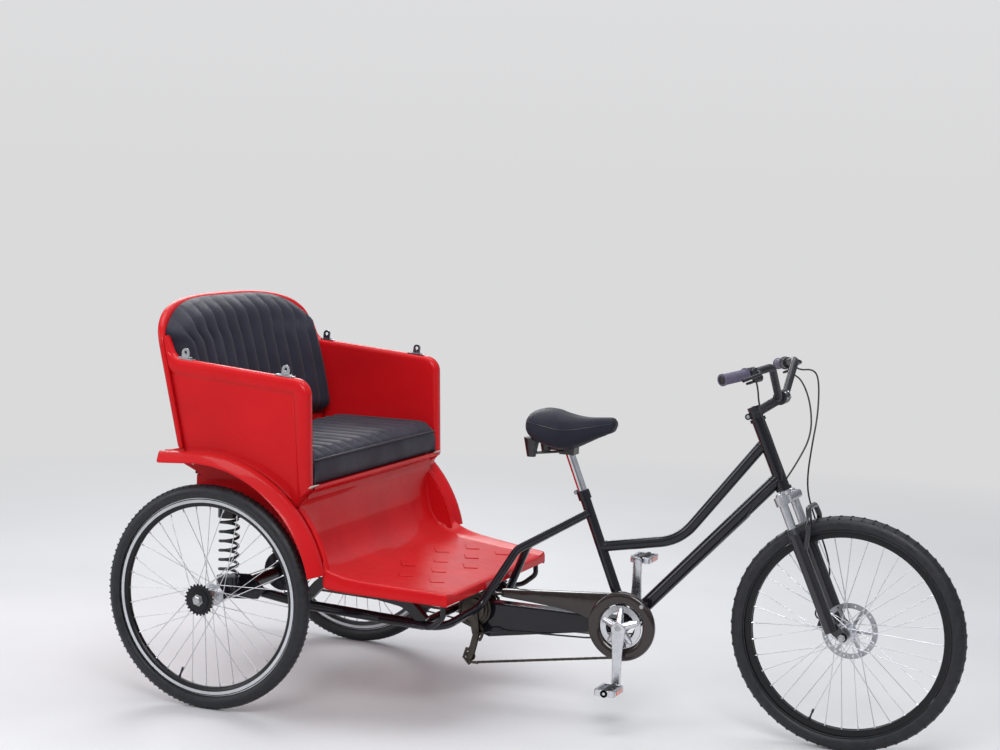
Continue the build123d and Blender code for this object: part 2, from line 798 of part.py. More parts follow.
def tray_hoop():
    """A slim tube beside the right rail, curled up at its front to carry the tray's corner."""
    near = -rail_half_spread - rail_radius - hoop_radius - running_gap
    under = pan_floor_height(690) - mould_thickness - 1
    path = [
        at(470, near, 283), at(590, near, 281), at(648, -358, 288), at(689, -362, 322), at(686, -362, under)]
    return bent_tube(path, hoop_radius, [60, 40, 22])


def body_bearer():
    """A rectangular bar trussed over the right rail, its two feet mitred to the rail."""
    path = [at(station, -rail_half_spread, height) for station, height in bearer_points]
    bar = bent_bar(path, bearer_width, bearer_depth, bearer_bends) - side_rail(running_gap)
    return max(bar.solids(), key=lambda solid: solid.volume)


def body_strut():
    """A slanted bar from the right rail up to the underside of the seat pan."""
    foot = at(strut_foot[0], -rail_half_spread, strut_foot[1])
    ceiling = sill_height - mould_thickness - 2 * running_gap
    head = at(strut_head_station, -rail_half_spread, ceiling)
    run = head - foot
    plane = Plane(origin=foot, x_dir=(0, 1, 0), z_dir=run)
    bar = extrude(plane * Rectangle(strut_width, strut_depth), 1.1 * run.length)
    above = Pos(at(0, 0, ceiling)) * Box(
        4 * side_outer, 4 * side_outer, seat_pan_depth, align=(Align.CENTER, Align.CENTER, Align.MIN))
    bar = bar - above - side_rail(running_gap)
    return max(bar.solids(), key=lambda solid: solid.volume)


# Rear suspension
def spring_coil():
    """An open coil of round wire."""
    height = spring_high - spring_low - 2 * spring_wire
    path = Helix(pitch=height / spring_turns, height=height, radius=spring_radius)
    section = Plane(origin=path @ 0, z_dir=path % 0) * Circle(spring_wire, align=Align.CENTER)
    return sweep(section, path, is_frenet=True)


def write_suspension():
    coil = Pos(at(0, -spring_offset, spring_low + spring_wire)) * spring_coil()
    write("springs", coil, mirrored(coil))

    bar = Pos(at(0, 0, arch_height)) * Box(arch_bar, 2 * arch_half, arch_bar_height)
    cup_radius = spring_radius + spring_wire + spring_cup_wall
    post_height = sill_height - mould_thickness - 2 * running_gap - arch_height
    for side in (-1, 1):
        cup = rod(at(0, side * spring_offset, spring_high + running_gap),
                  at(0, side * spring_offset, arch_height), cup_radius)
        bar += cup
        post = Pos(at(0, side * rail_half_spread, arch_height)) * Box(
            arch_bar, arch_post, post_height, align=(Align.CENTER, Align.CENTER, Align.MIN))
        bar += post
    write("spring_arch", bar)

    housing = across_bar(0, rear_radius, axle_housing_radius, -spring_offset - 40, spring_offset + 40)
    housing += across_bar(0, rear_radius, gear_case_radius, -46, 30)
    for side in (-1, 1):
        seat = rod(at(0, side * spring_offset, rear_radius),
                   at(0, side * spring_offset, spring_low - running_gap), cup_radius)
        plate = side_face(make_face(Polyline(*side_points([
            (-52, 318), (-20, 368), (40, 372), (96, 330), (70, 300), (-30, 292)]), close=True)))
        housing += seat
        housing += Pos(0, side * (rail_half_spread + rail_radius + 9 + running_gap), 0) * extrude(
            plate, 4, both=True)
        housing += across_bar(0, rear_radius, rear_axle_radius, side * (spring_offset + 30), side * (
            half_track + axle_nut_reach))
        nut = side * (half_track + rear_flange_half + flange_thickness / 2 + running_gap)
        housing += across_bar(0, rear_radius, axle_nut_radius, nut, nut + side * 14)
    write("axle_housing", housing)


# Drive
def belt(circles, shift):
    """A closed loop round circles given as station, height, radius and turning sense."""
    edges = []
    count = len(circles)
    tangents = []
    for index in range(count):
        x1, z1, r1, s1 = circles[index]
        x2, z2, r2, s2 = circles[(index + 1) % count]
        r1, r2 = s1 * r1 + shift, s2 * r2 + shift
        run = Vector(x2 - x1, z2 - z1, 0)
        lean = (r2 - r1) / run.length
        along = run.normalized()
        left = Vector(-along.Y, along.X, 0)
        normal = along * lean + left * sqrt(1 - lean ** 2)
        tangents.append((Vector(x1, z1, 0) - normal * r1, Vector(x2, z2, 0) - normal * r2))
    for index in range(count):
        leave, arrive = tangents[index]
        edges.append(Line(leave, arrive))
        x, z, r, sense = circles[(index + 1) % count]
        centre = Vector(x, z, 0)
        onward = tangents[(index + 1) % count][0]
        middle = (arrive + onward) / 2 - centre
        if (arrive - centre).dot(onward - centre) < -0.999 * (arrive - centre).length ** 2:
            middle = Vector(*(circles[index][:2]), 0) * -1 + centre
        reach = abs(sense * r + shift)
        bulge = middle.normalized() * reach
        cross = (arrive - centre).cross(onward - centre).Z
        if cross * sense < 0:
            bulge = bulge * -1
        edges.append(ThreePointArc(arrive, centre + bulge, onward))
    return make_face(edges)


def chain_loop(circles, across):
    """A closed chain as a plain band on its pitch line."""
    half = chain_height / 2
    band = belt(circles, half) - belt(circles, -half)
    placed = side_face(Pos(rear_station, 0) * band, across)
    return extrude(placed, chain_width / 2, both=True)


def disc(station, height, radius, across, thickness):
    return across_bar(station, height, radius, across - thickness / 2, across + thickness / 2)


def write_drive():
    seat_gap = running_gap + chain_height / 2
    front_circles = [
        (crank_station, crank_height, chainring_radius + seat_gap, 1),
        (jack_station, jack_height, cog_table[1][0] + seat_gap, 1),
        (*guide_pulley, pulley_radius + seat_gap, -1),
        (*tension_pulley, pulley_radius + seat_gap, 1)]
    write("front_chain", chain_loop(front_circles, -chainring_offset))
    rear_circles = [
        (jack_station, jack_height, front_sprocket_radius + seat_gap, 1),
        (0, rear_radius, rear_sprocket_radius + seat_gap, 1)]
    write("rear_chain", chain_loop(rear_circles, rear_chain_offset))

    jack = across_bar(jack_station, jack_height, jack_radius, -68, 56)
    for radius, offset in cog_table:
        jack += disc(jack_station, jack_height, radius, -offset, 2.4)
    jack += across_bar(jack_station, jack_height, 17, -62, -40)
    jack += disc(jack_station, jack_height, front_sprocket_radius, rear_chain_offset, 3)
    jack += across_bar(jack_station, jack_height, 14, beam_width / 2 + 2, 54)
    write("jackshaft", jack)
    write("rear_sprocket", disc(0, rear_radius, rear_sprocket_radius, rear_chain_offset, 3)
          + across_bar(0, rear_radius, 34, rear_chain_offset - 15, rear_chain_offset + 6)
          - across_bar(0, rear_radius, axle_housing_radius + running_gap, 0, 100))

    cage_outline = make_hull(
        [edge for station, height in (guide_pulley, tension_pulley)
         for edge in (Pos(rear_station + station, height) * Circle(9)).edges()])
    solids = []
    for offset in (-chainring_offset - 6, -chainring_offset + 6):
        plate = extrude(side_face(cage_outline, offset), 0.8, both=True)
        solids.append(plate)
    mech = solids[0] + solids[1]
    for station, height in (guide_pulley, tension_pulley):
        mech += disc(station, height, pulley_radius, -chainring_offset, 3)
        mech += across_bar(station, height, 4, -chainring_offset - 6, -chainring_offset + 6)
    hanger_outline = make_hull(
        [edge for station, height, radius in (
            (jack_station, jack_height, 15), (*guide_pulley, 11))
         for edge in (Pos(rear_station + station, height) * Circle(radius)).edges()])
    hanger = extrude(side_face(hanger_outline, -chainring_offset - 12.5), 1.5, both=True)
    hanger += across_bar(*guide_pulley, 8, -chainring_offset - 12, -chainring_offset - 6)
    hanger -= across_bar(jack_station, jack_height, jack_radius + running_gap, -80, 0)
    write("derailleur", mech + hanger)


def chain_guard():
    """A smoked cover: a flat ring over the chain, a wall round its edge and a tapered tail."""
    middle = Pos(rear_station + crank_station, crank_height)
    tail = make_face(Polyline(*side_points([
        (crank_station - 8, crank_height + guard_radius - 0.5), (748, 357), (744, 348), (748, 330),
        (900, 316), (crank_station - 88, crank_height - 30)]), close=True))
    outline = middle * Circle(guard_radius) + tail
    plate = outline - middle * Circle(guard_window)
    face = extrude(side_face(plate, guard_face), -guard_wall)
    wall_face = outline - offset(outline, -guard_wall)
    wall = extrude(side_face(wall_face, guard_face), guard_face - guard_back)
    chain_exit = Pos(at(crank_station - 160, guard_face + guard_wall + 0.2, 0)) * Box(
        320, 80, crank_height + 30, align=(Align.CENTER, Align.MIN, Align.MIN))
    tail_mouth = Pos(at(740, guard_face + guard_wall + 0.2, crank_height)) * Box(
        24, 80, 100, align=(Align.CENTER, Align.MIN, Align.MIN))
    cover = face + (wall - chain_exit - tail_mouth)
    lug_x, lug_z = crank_station + 62, crank_height + 66
    lug = rod(at(lug_x, guard_back - 2, lug_z), at(lug_x, -down_tube_radius + 3, lug_z), 6)
    arm = Pos(at(lug_x, guard_back - 2, lug_z)) * Box(12, 2, 46, rotation=(0, 42, 0))
    return cover + arm + lug


def write_guard():
    down_envelope = rod(shell_centre, steered(0, 0, down_tube_head), down_tube_radius + running_gap)
    cover = chain_guard() - down_envelope
    write("chain_guard", max(cover.solids(), key=lambda solid: solid.volume))


def crank_arm(across, sense):
    """A tapered arm from the spindle to the pedal's eye."""
    end = crank_height + sense * crank_length
    outline = make_hull(
        [edge for height, radius in ((crank_height, 18), (end, 12))
         for edge in (Pos(rear_station + crank_station, height) * Circle(radius)).edges()])
    return extrude(side_face(outline, across), crank_arm_half, both=True)


def write_crank():
    crank = across_bar(crank_station, crank_height, spindle_radius, -crank_offset - 6, crank_offset + 6)
    ring_face = Circle(chainring_radius) - Circle(chainring_radius - 13)
    for spoke in PolarLocations(0, 5):
        ring_face += spoke * Pos(chainring_radius / 2 + 2, 0) * Rectangle(chainring_radius - 14, 13)
    ring_face += Circle(24)
    placed = side_face(Pos(rear_station + crank_station, crank_height) * ring_face, -chainring_offset)
    crank += extrude(placed, 1.5, both=True)
    for side, sense in ((-1, -1), (1, 1)):
        crank += crank_arm(side * crank_offset, sense)
        outer = crank_offset + 6 + pedal_gap + pedal_length
        crank += across_bar(crank_station, crank_height + sense * crank_length, pedal_spindle,
                            side * crank_offset, side * outer)
    write("crankset", crank)
    for name, side, sense in (("right", -1, -1), ("left", 1, 1)):
        write(f"pedal_{name}", Pos(at(
            crank_station, side * (crank_offset + crank_arm_half + pedal_gap + pedal_length / 2),
            crank_height + sense * crank_length)) * pedal())


def pedal():
    """A cage pedal: a barrel on the spindle inside a frame that is open above and below."""
    bar = 12
    frame = Box(pedal_width, pedal_length, pedal_thickness)
    frame = fillet(frame.edges().filter_by(Axis.Z), 10)
    frame -= Box(pedal_width - 2 * bar, pedal_length - 2 * bar, pedal_thickness + 2)
    barrel = Cylinder(11, pedal_length, rotation=(90, 0, 0))
    bore = Cylinder(pedal_spindle + running_gap, 2 * pedal_length, rotation=(90, 0, 0))
    return frame + barrel - bore


# Saddle
saddle_table = (
    # station, half width, bottom, top
    (794, 62, 838, 866),
    (846, 102, 806, 898),
    (910, 88, 788, 892),
    (985, 40, 832, 882),
    (1062, 16, 862, 880),
)
post_top = 129


def saddle():
    """A wide sprung saddle, lofted from the tail to the nose."""
    sections = []
    for station, half_width, bottom, top in saddle_table:
        edges = [
            Line((-half_width, bottom), (half_width, bottom)),
            ThreePointArc((half_width, bottom), (0, top), (-half_width, bottom))]
        plane = Plane(origin=at(station, 0, 0), x_dir=(0, 1, 0), z_dir=(1, 0, 0))
        sections.append(plane * make_face(edges))
    return loft(sections)


def write_saddle():
    top = seat_clamp + seat_run * post_top
    post = rod(seat_clamp - seat_run * 110, top, seat_post_radius)
    write("seat_post", post)
    write("saddle", saddle())
    head = Pos(top) * Box(46, 44, 20)
    for side in (-1, 1):
        head += rod(at(822, side * 60, 772), top + Vector(0, side * 16, 0), 4)
        head += Solid.make_cone(
            13, 24, 56, Plane(origin=at(822, side * 60, 762), z_dir=(0, 0, 1)))
        head += rod(top + Vector(0, side * 12, 0), at(975, side * 12, 818), 4)
    shell = saddle()
    head = head - shell - rod(seat_clamp, top + seat_run * 0.1, seat_post_radius + running_gap)
    write("saddle_frame", max(head.solids(), key=lambda solid: solid.volume))


# Steering
def local_rod(start, end, radius):
    return rod(steered(*start), steered(*end), radius)


def write_fork():
    upper = local_rod((0, 0, crown_low), (0, 0, head_tube_high + 4), steerer_radius)
    upper += local_rod((0, 0, crown_low), (0, 0, crown_high), steerer_radius + 3)
    crown = Pos(6, 0, (crown_low + crown_shoulder) / 2) * Box(44, 2 * leg_spread, crown_shoulder - crown_low)
    upper += steer * fillet(crown.edges().filter_by(Axis.Y), 9)
    for side in (-1, 1):
        upper += local_rod((0, side * leg_spread, crown_low), (0, side * leg_spread, crown_shoulder), 20)
        upper += local_rod((0, side * leg_spread, 170), (0, side * leg_spread, crown_shoulder + 3),
                           stanchion_radius)
    write("fork_upper", upper)

    lower = None
    for side in (-1, 1):
        leg = local_rod((0, side * leg_spread, 24), (0, side * leg_spread, lower_top), leg_radius)
        drop = make_hull(
            [edge for fore, up, radius in ((fork_offset, 0, 14), (2, 40, 16))
             for edge in (Pos(fore, up) * Circle(radius)).edges()])
        inner = side * (front_flange_half + 18)
        plate = steer * Plane(origin=(0, inner, 0), x_dir=(1, 0, 0), z_dir=(0, -1, 0)) * drop
        leg += extrude(plate, -side * 8)
        lower = leg if lower is None else lower + leg
    axle_half = leg_spread + 4
    lower += local_rod((fork_offset, -axle_half, 0), (fork_offset, axle_half, 0), front_axle_radius)
    arch_path = [steered(*point) for point in (
        (12, -leg_spread, 262), (54, -leg_spread, 334), (58, -40, 368), (58, 40, 368),
        (54, leg_spread, 334), (12, leg_spread, 262))]
    lower += bent_tube(arch_path, 8, [30, 18, 18, 30])
    for side in (-1, 1):
        lower -= local_rod((0, side * leg_spread, 169), (0, side * leg_spread, crown_low),
                           stanchion_radius + running_gap)
    write("fork_lowers", lower)

    stem = local_rod((0, 0, head_tube_high + running_gap), (0, 0, head_tube_high + 34), 18)
    start = (6, 0, head_tube_high + 16)
    stem += local_rod(start, (clamp_point[0], 0, clamp_point[2]), 14)
    stem += local_rod((-20, -16, head_tube_high + 12), (-20, 16, head_tube_high + 12), 9)
    stem += local_rod((clamp_point[0], -24, clamp_point[2]), (clamp_point[0], 24, clamp_point[2]), 20)
    stem -= local_rod((clamp_point[0], -60, clamp_point[2]), (clamp_point[0], 60, clamp_point[2]),
                      bar_radius + running_gap)
    stem -= local_rod((0, 0, head_tube_low), (0, 0, head_tube_high + 4 + running_gap),
                      steerer_radius + running_gap)
    write("stem", stem)

    half_bar = [(x, y, z) for x, y, z in (
        (clamp_point[0], 34, clamp_point[2]), riser_point, grip_inner_point, grip_outer_point)]
    points = [steered(x, -y, z) for x, y, z in reversed(half_bar)]
    points += [steered(x, y, z) for x, y, z in half_bar]
    write("handlebar", bent_tube(points, bar_radius, [30, 22, 22, 22, 22, 30]))

    inner = steered(grip_inner_point[0], -grip_inner_point[1], grip_inner_point[2])
    outer = steered(grip_outer_point[0], -grip_outer_point[1], grip_outer_point[2])
    run = (outer - inner).normalized()
    grip = rod(outer - run * grip_length, outer + run * 4, grip_radius) - rod(
        inner, outer + run * 0.2, bar_radius + running_gap)
    write("grips", grip, mirrored(grip))

    clamp_middle = outer - run * (grip_length + lever_clamp)
    clamp = rod(clamp_middle - run * lever_clamp / 2, clamp_middle + run * lever_clamp / 2, bar_radius + 6)
    clamp += rod(clamp_middle + axis_fore * 8, clamp_middle + axis_fore * 30, 8)
    pivot = clamp_middle + axis_fore * 26
    blade = bent_tube([pivot, pivot + axis_fore * 22 - axis_up * 14 + run * 16,
                       pivot + run * lever_reach + axis_fore * 14 - axis_up * 20], 5, [16])
    lever = clamp + blade - rod(inner, outer, bar_radius + running_gap)
    write("brake_levers", lever, mirrored(lever))


def write_caliper():
    """A two-pot caliper astride the rotor, bolted behind the left fork leg."""
    rotor_y = front_flange_half + 10 + running_gap + rotor_thickness / 2
    slot = rotor_thickness + 3
    place = steer * Pos(fork_offset, rotor_y, 0) * Rot(0, -caliper_angle, 0)
    body = Pos(0, 0, rotor_radius - 3) * Box(36, slot + 20, 26)
    body = fillet(body.edges().filter_by(Axis.Y), 6)
    body -= Pos(0, 0, rotor_radius - 14) * Box(60, slot, 34)
    caliper = place * body
    for inner, outer in caliper_lugs:
        caliper += local_rod(inner, outer, caliper_lug_radius)
    caliper -= local_rod((0, leg_spread, 0), (0, leg_spread, lower_top), leg_radius + running_gap)
    write("front_caliper", max(caliper.solids(), key=lambda solid: solid.volume))


# Cables
def cable(points):
    return bent_tube(points, cable_radius, [cable_bend] * (len(points) - 2))


def frame_cable(side, tail):
    """A casing clipped to the down tube, from beside the head tube back past the bottom bracket."""
    head = steered(0, 0, down_tube_head)
    along = (shell_centre - head).normalized()
    clear = down_tube_radius + cable_radius + running_gap
    level = Vector(0, side, 0)
    below = (level + Vector(-along.Z, 0, along.X)) * sqrt(0.5)
    clips = [
        steered(4, side * cable_head_across, cable_head_up),
        head + along * cable_side_clip + level * (clear + cable_slack),
        head + along * cable_first_clip + below * (clear + cable_slack),
        shell_centre - along * cable_last_clip + below * clear]
    return cable(clips + [at(*point) for point in tail])


def write_cables():
    write("front_brake_hose", cable([steered(*point) for point in brake_hose_points]))
    write("steering_cables", cable([steered(*point) for point in shift_cable_points]),
          cable([steered(*point) for point in brake_cable_points]))
    write("frame_cables", frame_cable(-1, shift_cable_tail), frame_cable(1, brake_cable_tail))


os.makedirs("parts", exist_ok=True)
write_wheels()
write_body()
write_frame()
write_suspension()
write_drive()
write_guard()
write_crank()
write_saddle()
write_fork()
write_caliper()
write_cables()
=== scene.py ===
"""Dresses the cycle rickshaw's frame: mouldings, upholstery, tyres, drive details and finishes."""
import json
from math import cos, pi, radians, sin, sqrt

import bmesh
import bpy
from mathutils import Matrix, Vector


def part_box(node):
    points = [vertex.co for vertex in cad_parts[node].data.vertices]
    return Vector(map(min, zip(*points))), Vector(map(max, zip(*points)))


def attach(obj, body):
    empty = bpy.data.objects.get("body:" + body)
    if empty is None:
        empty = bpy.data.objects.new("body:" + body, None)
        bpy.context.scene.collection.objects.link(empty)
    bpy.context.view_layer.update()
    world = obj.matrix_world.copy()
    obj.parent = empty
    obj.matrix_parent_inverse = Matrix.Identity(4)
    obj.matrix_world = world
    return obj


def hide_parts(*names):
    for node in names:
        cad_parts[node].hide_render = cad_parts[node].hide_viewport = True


bl_info = {
    "name": "Cycle rickshaw",
    "version": (1, 0, 0),
    "blender": (4, 5, 0),
    "location": "3D View > Sidebar > Rickshaw",
    "description": "Builds the dressed parts of a three-wheeled pedal cab over its frame",
    "category": "Object",
}

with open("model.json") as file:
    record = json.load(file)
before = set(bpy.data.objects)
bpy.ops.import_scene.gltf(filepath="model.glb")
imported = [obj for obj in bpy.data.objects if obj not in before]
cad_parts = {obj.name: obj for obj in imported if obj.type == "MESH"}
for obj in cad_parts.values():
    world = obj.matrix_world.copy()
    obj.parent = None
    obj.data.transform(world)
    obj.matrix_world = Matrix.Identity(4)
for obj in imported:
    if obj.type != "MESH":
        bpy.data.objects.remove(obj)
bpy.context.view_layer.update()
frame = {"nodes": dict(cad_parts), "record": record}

MM = 0.001


def node_centre(node):
    """Middle of a part's box at rest."""
    low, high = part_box(node)
    return (low + high) / 2


REAR_AXLE = node_centre("rear_rim_right")
FRONT_AXLE = node_centre("front_rim")
HALF_TRACK = -REAR_AXLE.y / MM
REAR_RADIUS = REAR_AXLE.z / MM
FRONT_RADIUS = FRONT_AXLE.z / MM
WHEELBASE = (FRONT_AXLE.x - REAR_AXLE.x) / MM
CRANK = node_centre("bottom_bracket")
CRANK_STATION = (CRANK.x - REAR_AXLE.x) / MM
CRANK_HEIGHT = CRANK.z / MM

# The steering axis leans back; its own frame runs fore, across and up from the foot beside the axle
HEAD_ANGLE = radians(66)
FORK_OFFSET = 23
AXIS_UP = Vector((-cos(HEAD_ANGLE), 0, sin(HEAD_ANGLE)))
AXIS_FORE = Vector((sin(HEAD_ANGLE), 0, cos(HEAD_ANGLE)))
AXIS_FOOT = Vector((WHEELBASE, 0, FRONT_RADIUS)) - AXIS_FORE * FORK_OFFSET


def linear(code):
    """Turn an sRGB hex code into linear colour."""
    channels = []
    for place in (0, 2, 4):
        value = int(code[place:place + 2], 16) / 255
        channels.append(value / 12.92 if value <= 0.04045 else ((value + 0.055) / 1.055) ** 2.4)
    return (*channels, 1.0)


def steered(fore, across, up):
    """A point of the steering frame as station, across and height."""
    point = AXIS_FOOT + AXIS_FORE * fore + AXIS_UP * up
    return Vector((point.x, across, point.z))


def clamp(value):
    """A value held between zero and one."""
    return min(1.0, max(0.0, value))


def soft_step(value):
    """A rise from zero to one that starts and ends level."""
    value = clamp(value)
    return value * value * (3 - 2 * value)


def bulged(value, power):
    """A sine or cosine with fuller shoulders, its sign kept."""
    return abs(value) ** power * (1 if value >= 0 else -1)


def circle(count):
    """Cosine and sine of even turns."""
    return [(cos(2 * pi * turn / count), sin(2 * pi * turn / count)) for turn in range(count)]


def curve_weights(turn):
    """How much a smooth step takes of its first point, first slope, second point and second slope."""
    square, cube = turn * turn, turn ** 3
    return 2 * cube - 3 * square + 1, cube - 2 * square + turn, 3 * square - 2 * cube, cube - square


# Settings


class RickshawBody(bpy.types.PropertyGroup):
    """Sizes of the moulded body and its upholstery."""
    arch_top: bpy.props.FloatProperty(
        name="Backrest height", description="Floor to the top of the backrest", default=1.1835,
        unit="LENGTH", min=1.1, max=1.19)
    bead: bpy.props.FloatProperty(
        name="Armrest bead", description="Width of the raised band round the side panel", default=0.046,
        unit="LENGTH", min=0.02, max=0.06)
    back_channels: bpy.props.IntProperty(
        name="Back channels", description="Upright sewn channels in the back cushion", default=13, min=5,
        max=21)
    seat_channels: bpy.props.IntProperty(
        name="Seat channels", description="Sewn channels across the seat cushion", default=13, min=5, max=21)
    puff: bpy.props.FloatProperty(
        name="Cushion puff", description="Height of each channel above its seams", default=0.011,
        unit="LENGTH", min=0.0, max=0.02)


class RickshawWheels(bpy.types.PropertyGroup):
    """Counts and sizes on the three wheels."""
    tread_blocks: bpy.props.IntProperty(
        name="Front tread blocks", description="Blocks in one row round the front tyre", default=64,
        min=24, max=96)
    rear_ribs: bpy.props.IntProperty(
        name="Rear tread ribs", description="Ribs in one row round a rear tyre", default=110, min=40, max=160)
    tread_depth: bpy.props.FloatProperty(
        name="Tread depth", description="Height of the front tyre's blocks", default=0.004,
        unit="LENGTH", min=0.001, max=0.006)


class RickshawColours(bpy.types.PropertyGroup):
    """Colours of the main finishes."""
    gel_coat: bpy.props.FloatVectorProperty(
        name="Body", description="Gel coat of the moulded body", subtype="COLOR", size=4, min=0, max=1,
        default=linear("C4141A"))
    vinyl: bpy.props.FloatVectorProperty(
        name="Upholstery", description="Seat and back vinyl", subtype="COLOR", size=4, min=0, max=1,
        default=linear("2B2B36"))
    enamel: bpy.props.FloatVectorProperty(
        name="Frame", description="Enamel on the welded tubes", subtype="COLOR", size=4, min=0, max=1,
        default=linear("17171D"))


# Materials


def add(tree, kind, inputs=None, **settings):
    """Add a shader or geometry node, set it up and link what its inputs are given."""
    node = tree.nodes.new(kind)
    for key, value in settings.items():
        setattr(node, key, value)
    for key, value in (inputs or {}).items():
        if isinstance(value, bpy.types.NodeSocket):
            tree.links.new(value, node.inputs[key])
        else:
            node.inputs[key].default_value = value
    return node


def new_material(name, **constants):
    """A material with one Principled shader; constants go on the shader's own sockets."""
    material = bpy.data.materials.new(name)
    material.use_nodes = True
    tree = material.node_tree
    tree.nodes.clear()
    shader = add(tree, "ShaderNodeBsdfPrincipled", {
        key.replace("_", " "): value for key, value in constants.items()})
    out = add(tree, "ShaderNodeOutputMaterial")
    tree.links.new(shader.outputs[0], out.inputs[0])
    place = add(tree, "ShaderNodeTexCoord").outputs["Object"]
    return material, tree, shader, place


def noise(tree, place, size_mm, detail=3.0, roughness=0.55, distortion=0.0):
    """Cloudy noise whose features are size_mm across."""
    return add(tree, "ShaderNodeTexNoise", {
        "Vector": place, "Scale": 1000 / size_mm, "Detail": detail, "Roughness": roughness,
        "Distortion": distortion}).outputs[0]


def cells(tree, place, size_mm):
    """Soft-edged cell pattern whose cells are size_mm across."""
    return add(tree, "ShaderNodeTexVoronoi", {"Vector": place, "Scale": 1000 / size_mm},
               feature="SMOOTH_F1").outputs["Distance"]


def stretched(tree, place, scale):
    """Coordinates squeezed along the axes, for brushed or drawn marks."""
    return add(tree, "ShaderNodeMapping", {"Vector": place, "Scale": scale}).outputs[0]


def remap(tree, value, low, high, to_low, to_high):
    """A clamped range of a value."""
    return add(tree, "ShaderNodeMapRange", {
        "Value": value, "From Min": low, "From Max": high, "To Min": to_low, "To Max": to_high}).outputs[0]


def mixed(tree, factor, first, second):
    """Two colours mixed by a factor."""
    return add(tree, "ShaderNodeMix", {0: factor, 6: first, 7: second}, data_type="RGBA").outputs[2]


def relief(tree, shader, height, depth_mm, previous=None):
    """A bump of a given depth on the shader, over an earlier one."""
    inputs = {"Height": height, "Distance": depth_mm * MM, "Strength": 1.0}
    if previous:
        inputs["Normal"] = previous.outputs[0]
    bump = add(tree, "ShaderNodeBump", inputs)
    tree.links.new(bump.outputs[0], shader.inputs["Normal"])
    return bump


def surface(tree, shader, tone, roughness):
    """Give the shader its colour and roughness."""
    tree.links.new(tone, shader.inputs["Base Color"])
    tree.links.new(roughness, shader.inputs["Roughness"])


def shade(colour, factor):
    """A darker or lighter version of a colour."""
    return (*[min(1, channel * factor) for channel in colour[:3]], 1)


def upward(tree):
    """One on faces that look up, zero on the rest."""
    normal = add(tree, "ShaderNodeNewGeometry").outputs["Normal"]
    return add(tree, "ShaderNodeSeparateXYZ", {0: normal}).outputs[2]


def gel_coat(colour):
    """Glass-fibre moulding: pigmented gel coat, buffed, with a slight print of the mat beneath."""
    material, tree, shader, place = new_material(
        "gel_coat", IOR=1.45, Specular_IOR_Level=0.12, Coat_Weight=0.2, Coat_Roughness=0.03)
    cloud = noise(tree, place, 260, 2)
    speck = noise(tree, place, 9, 4)
    tone = mixed(tree, remap(tree, cloud, 0.35, 0.65, 0, 1), shade(colour, 0.92), shade(colour, 1.06))
    dust = remap(tree, upward(tree), 0.6, 1.0, 0.0, 0.035)
    dusty = add(tree, "ShaderNodeMath", {0: dust, 1: remap(tree, speck, 0.3, 0.7, 0.2, 1.0)},
                operation="MULTIPLY").outputs[0]
    surface(tree, shader, mixed(tree, dusty, tone, linear("D8A79C")),
            remap(tree, noise(tree, place, 40, 5), 0.3, 0.7, 0.32, 0.42))
    mat = relief(tree, shader, noise(tree, place, 70, 1), 0.25)
    relief(tree, shader, noise(tree, place, 3.2, 2), 0.012, mat)
    return material


def enamel(colour):
    """Frame paint: sprayed gloss enamel with fine orange peel and patches of road dust."""
    material, tree, shader, place = new_material(
        "frame_enamel", IOR=1.45, Specular_IOR_Level=0.25, Coat_Weight=0.45, Coat_Roughness=0.04)
    grime = remap(tree, noise(tree, place, 60, 5, 0.62), 0.55, 0.75, 0.0, 0.1)
    surface(tree, shader, mixed(tree, grime, colour, linear("3A3734")),
            remap(tree, noise(tree, place, 25, 5), 0.3, 0.7, 0.16, 0.26))
    relief(tree, shader, noise(tree, place, 4, 1), 0.006)
    return material


def metal(name, code, low, high, grain=(1, 1, 1), grain_mm=2.0, stain=None, depth=0.01):
    """Bare or plated metal with grain along one axis and faint staining."""
    material, tree, shader, place = new_material(name, Metallic=1.0)
    colour = linear(code)
    cloud = remap(tree, noise(tree, place, 35, 4), 0.45, 0.75, 0.0, 0.6)
    lines = noise(tree, stretched(tree, place, grain), grain_mm, 4, 0.6)
    surface(tree, shader, mixed(tree, cloud, colour, linear(stain) if stain else shade(colour, 0.72)),
            remap(tree, lines, 0.3, 0.7, low, high))
    relief(tree, shader, lines, depth)
    return material


def coated(name, code, low, high, worn=None, texture_mm=1.2, depth=0.03, **constants):
    """Paint, anodising or moulded plastic with fine texture and a rubbed second tone."""
    material, tree, shader, place = new_material(name, **constants)
    colour = linear(code)
    rub = remap(tree, noise(tree, place, 22, 5, 0.6), 0.5, 0.75, 0.0, 0.5)
    surface(tree, shader, mixed(tree, rub, colour, linear(worn) if worn else shade(colour, 1.6)),
            remap(tree, noise(tree, place, 12, 4), 0.3, 0.7, low, high))
    relief(tree, shader, noise(tree, place, texture_mm, 3), depth)
    return material


def tyre_rubber():
    """Moulded tyre rubber with patches of grey-brown dust."""
    material, tree, shader, place = new_material("tyre_rubber", IOR=1.45)
    dust = remap(tree, noise(tree, place, 18, 6, 0.65), 0.42, 0.7, 0.0, 0.65)
    surface(tree, shader, mixed(tree, dust, linear("17181C"), linear("2E2D31")),
            remap(tree, dust, 0, 0.6, 0.42, 0.62))
    relief(tree, shader, noise(tree, place, 1.5, 4), 0.12)
    return material


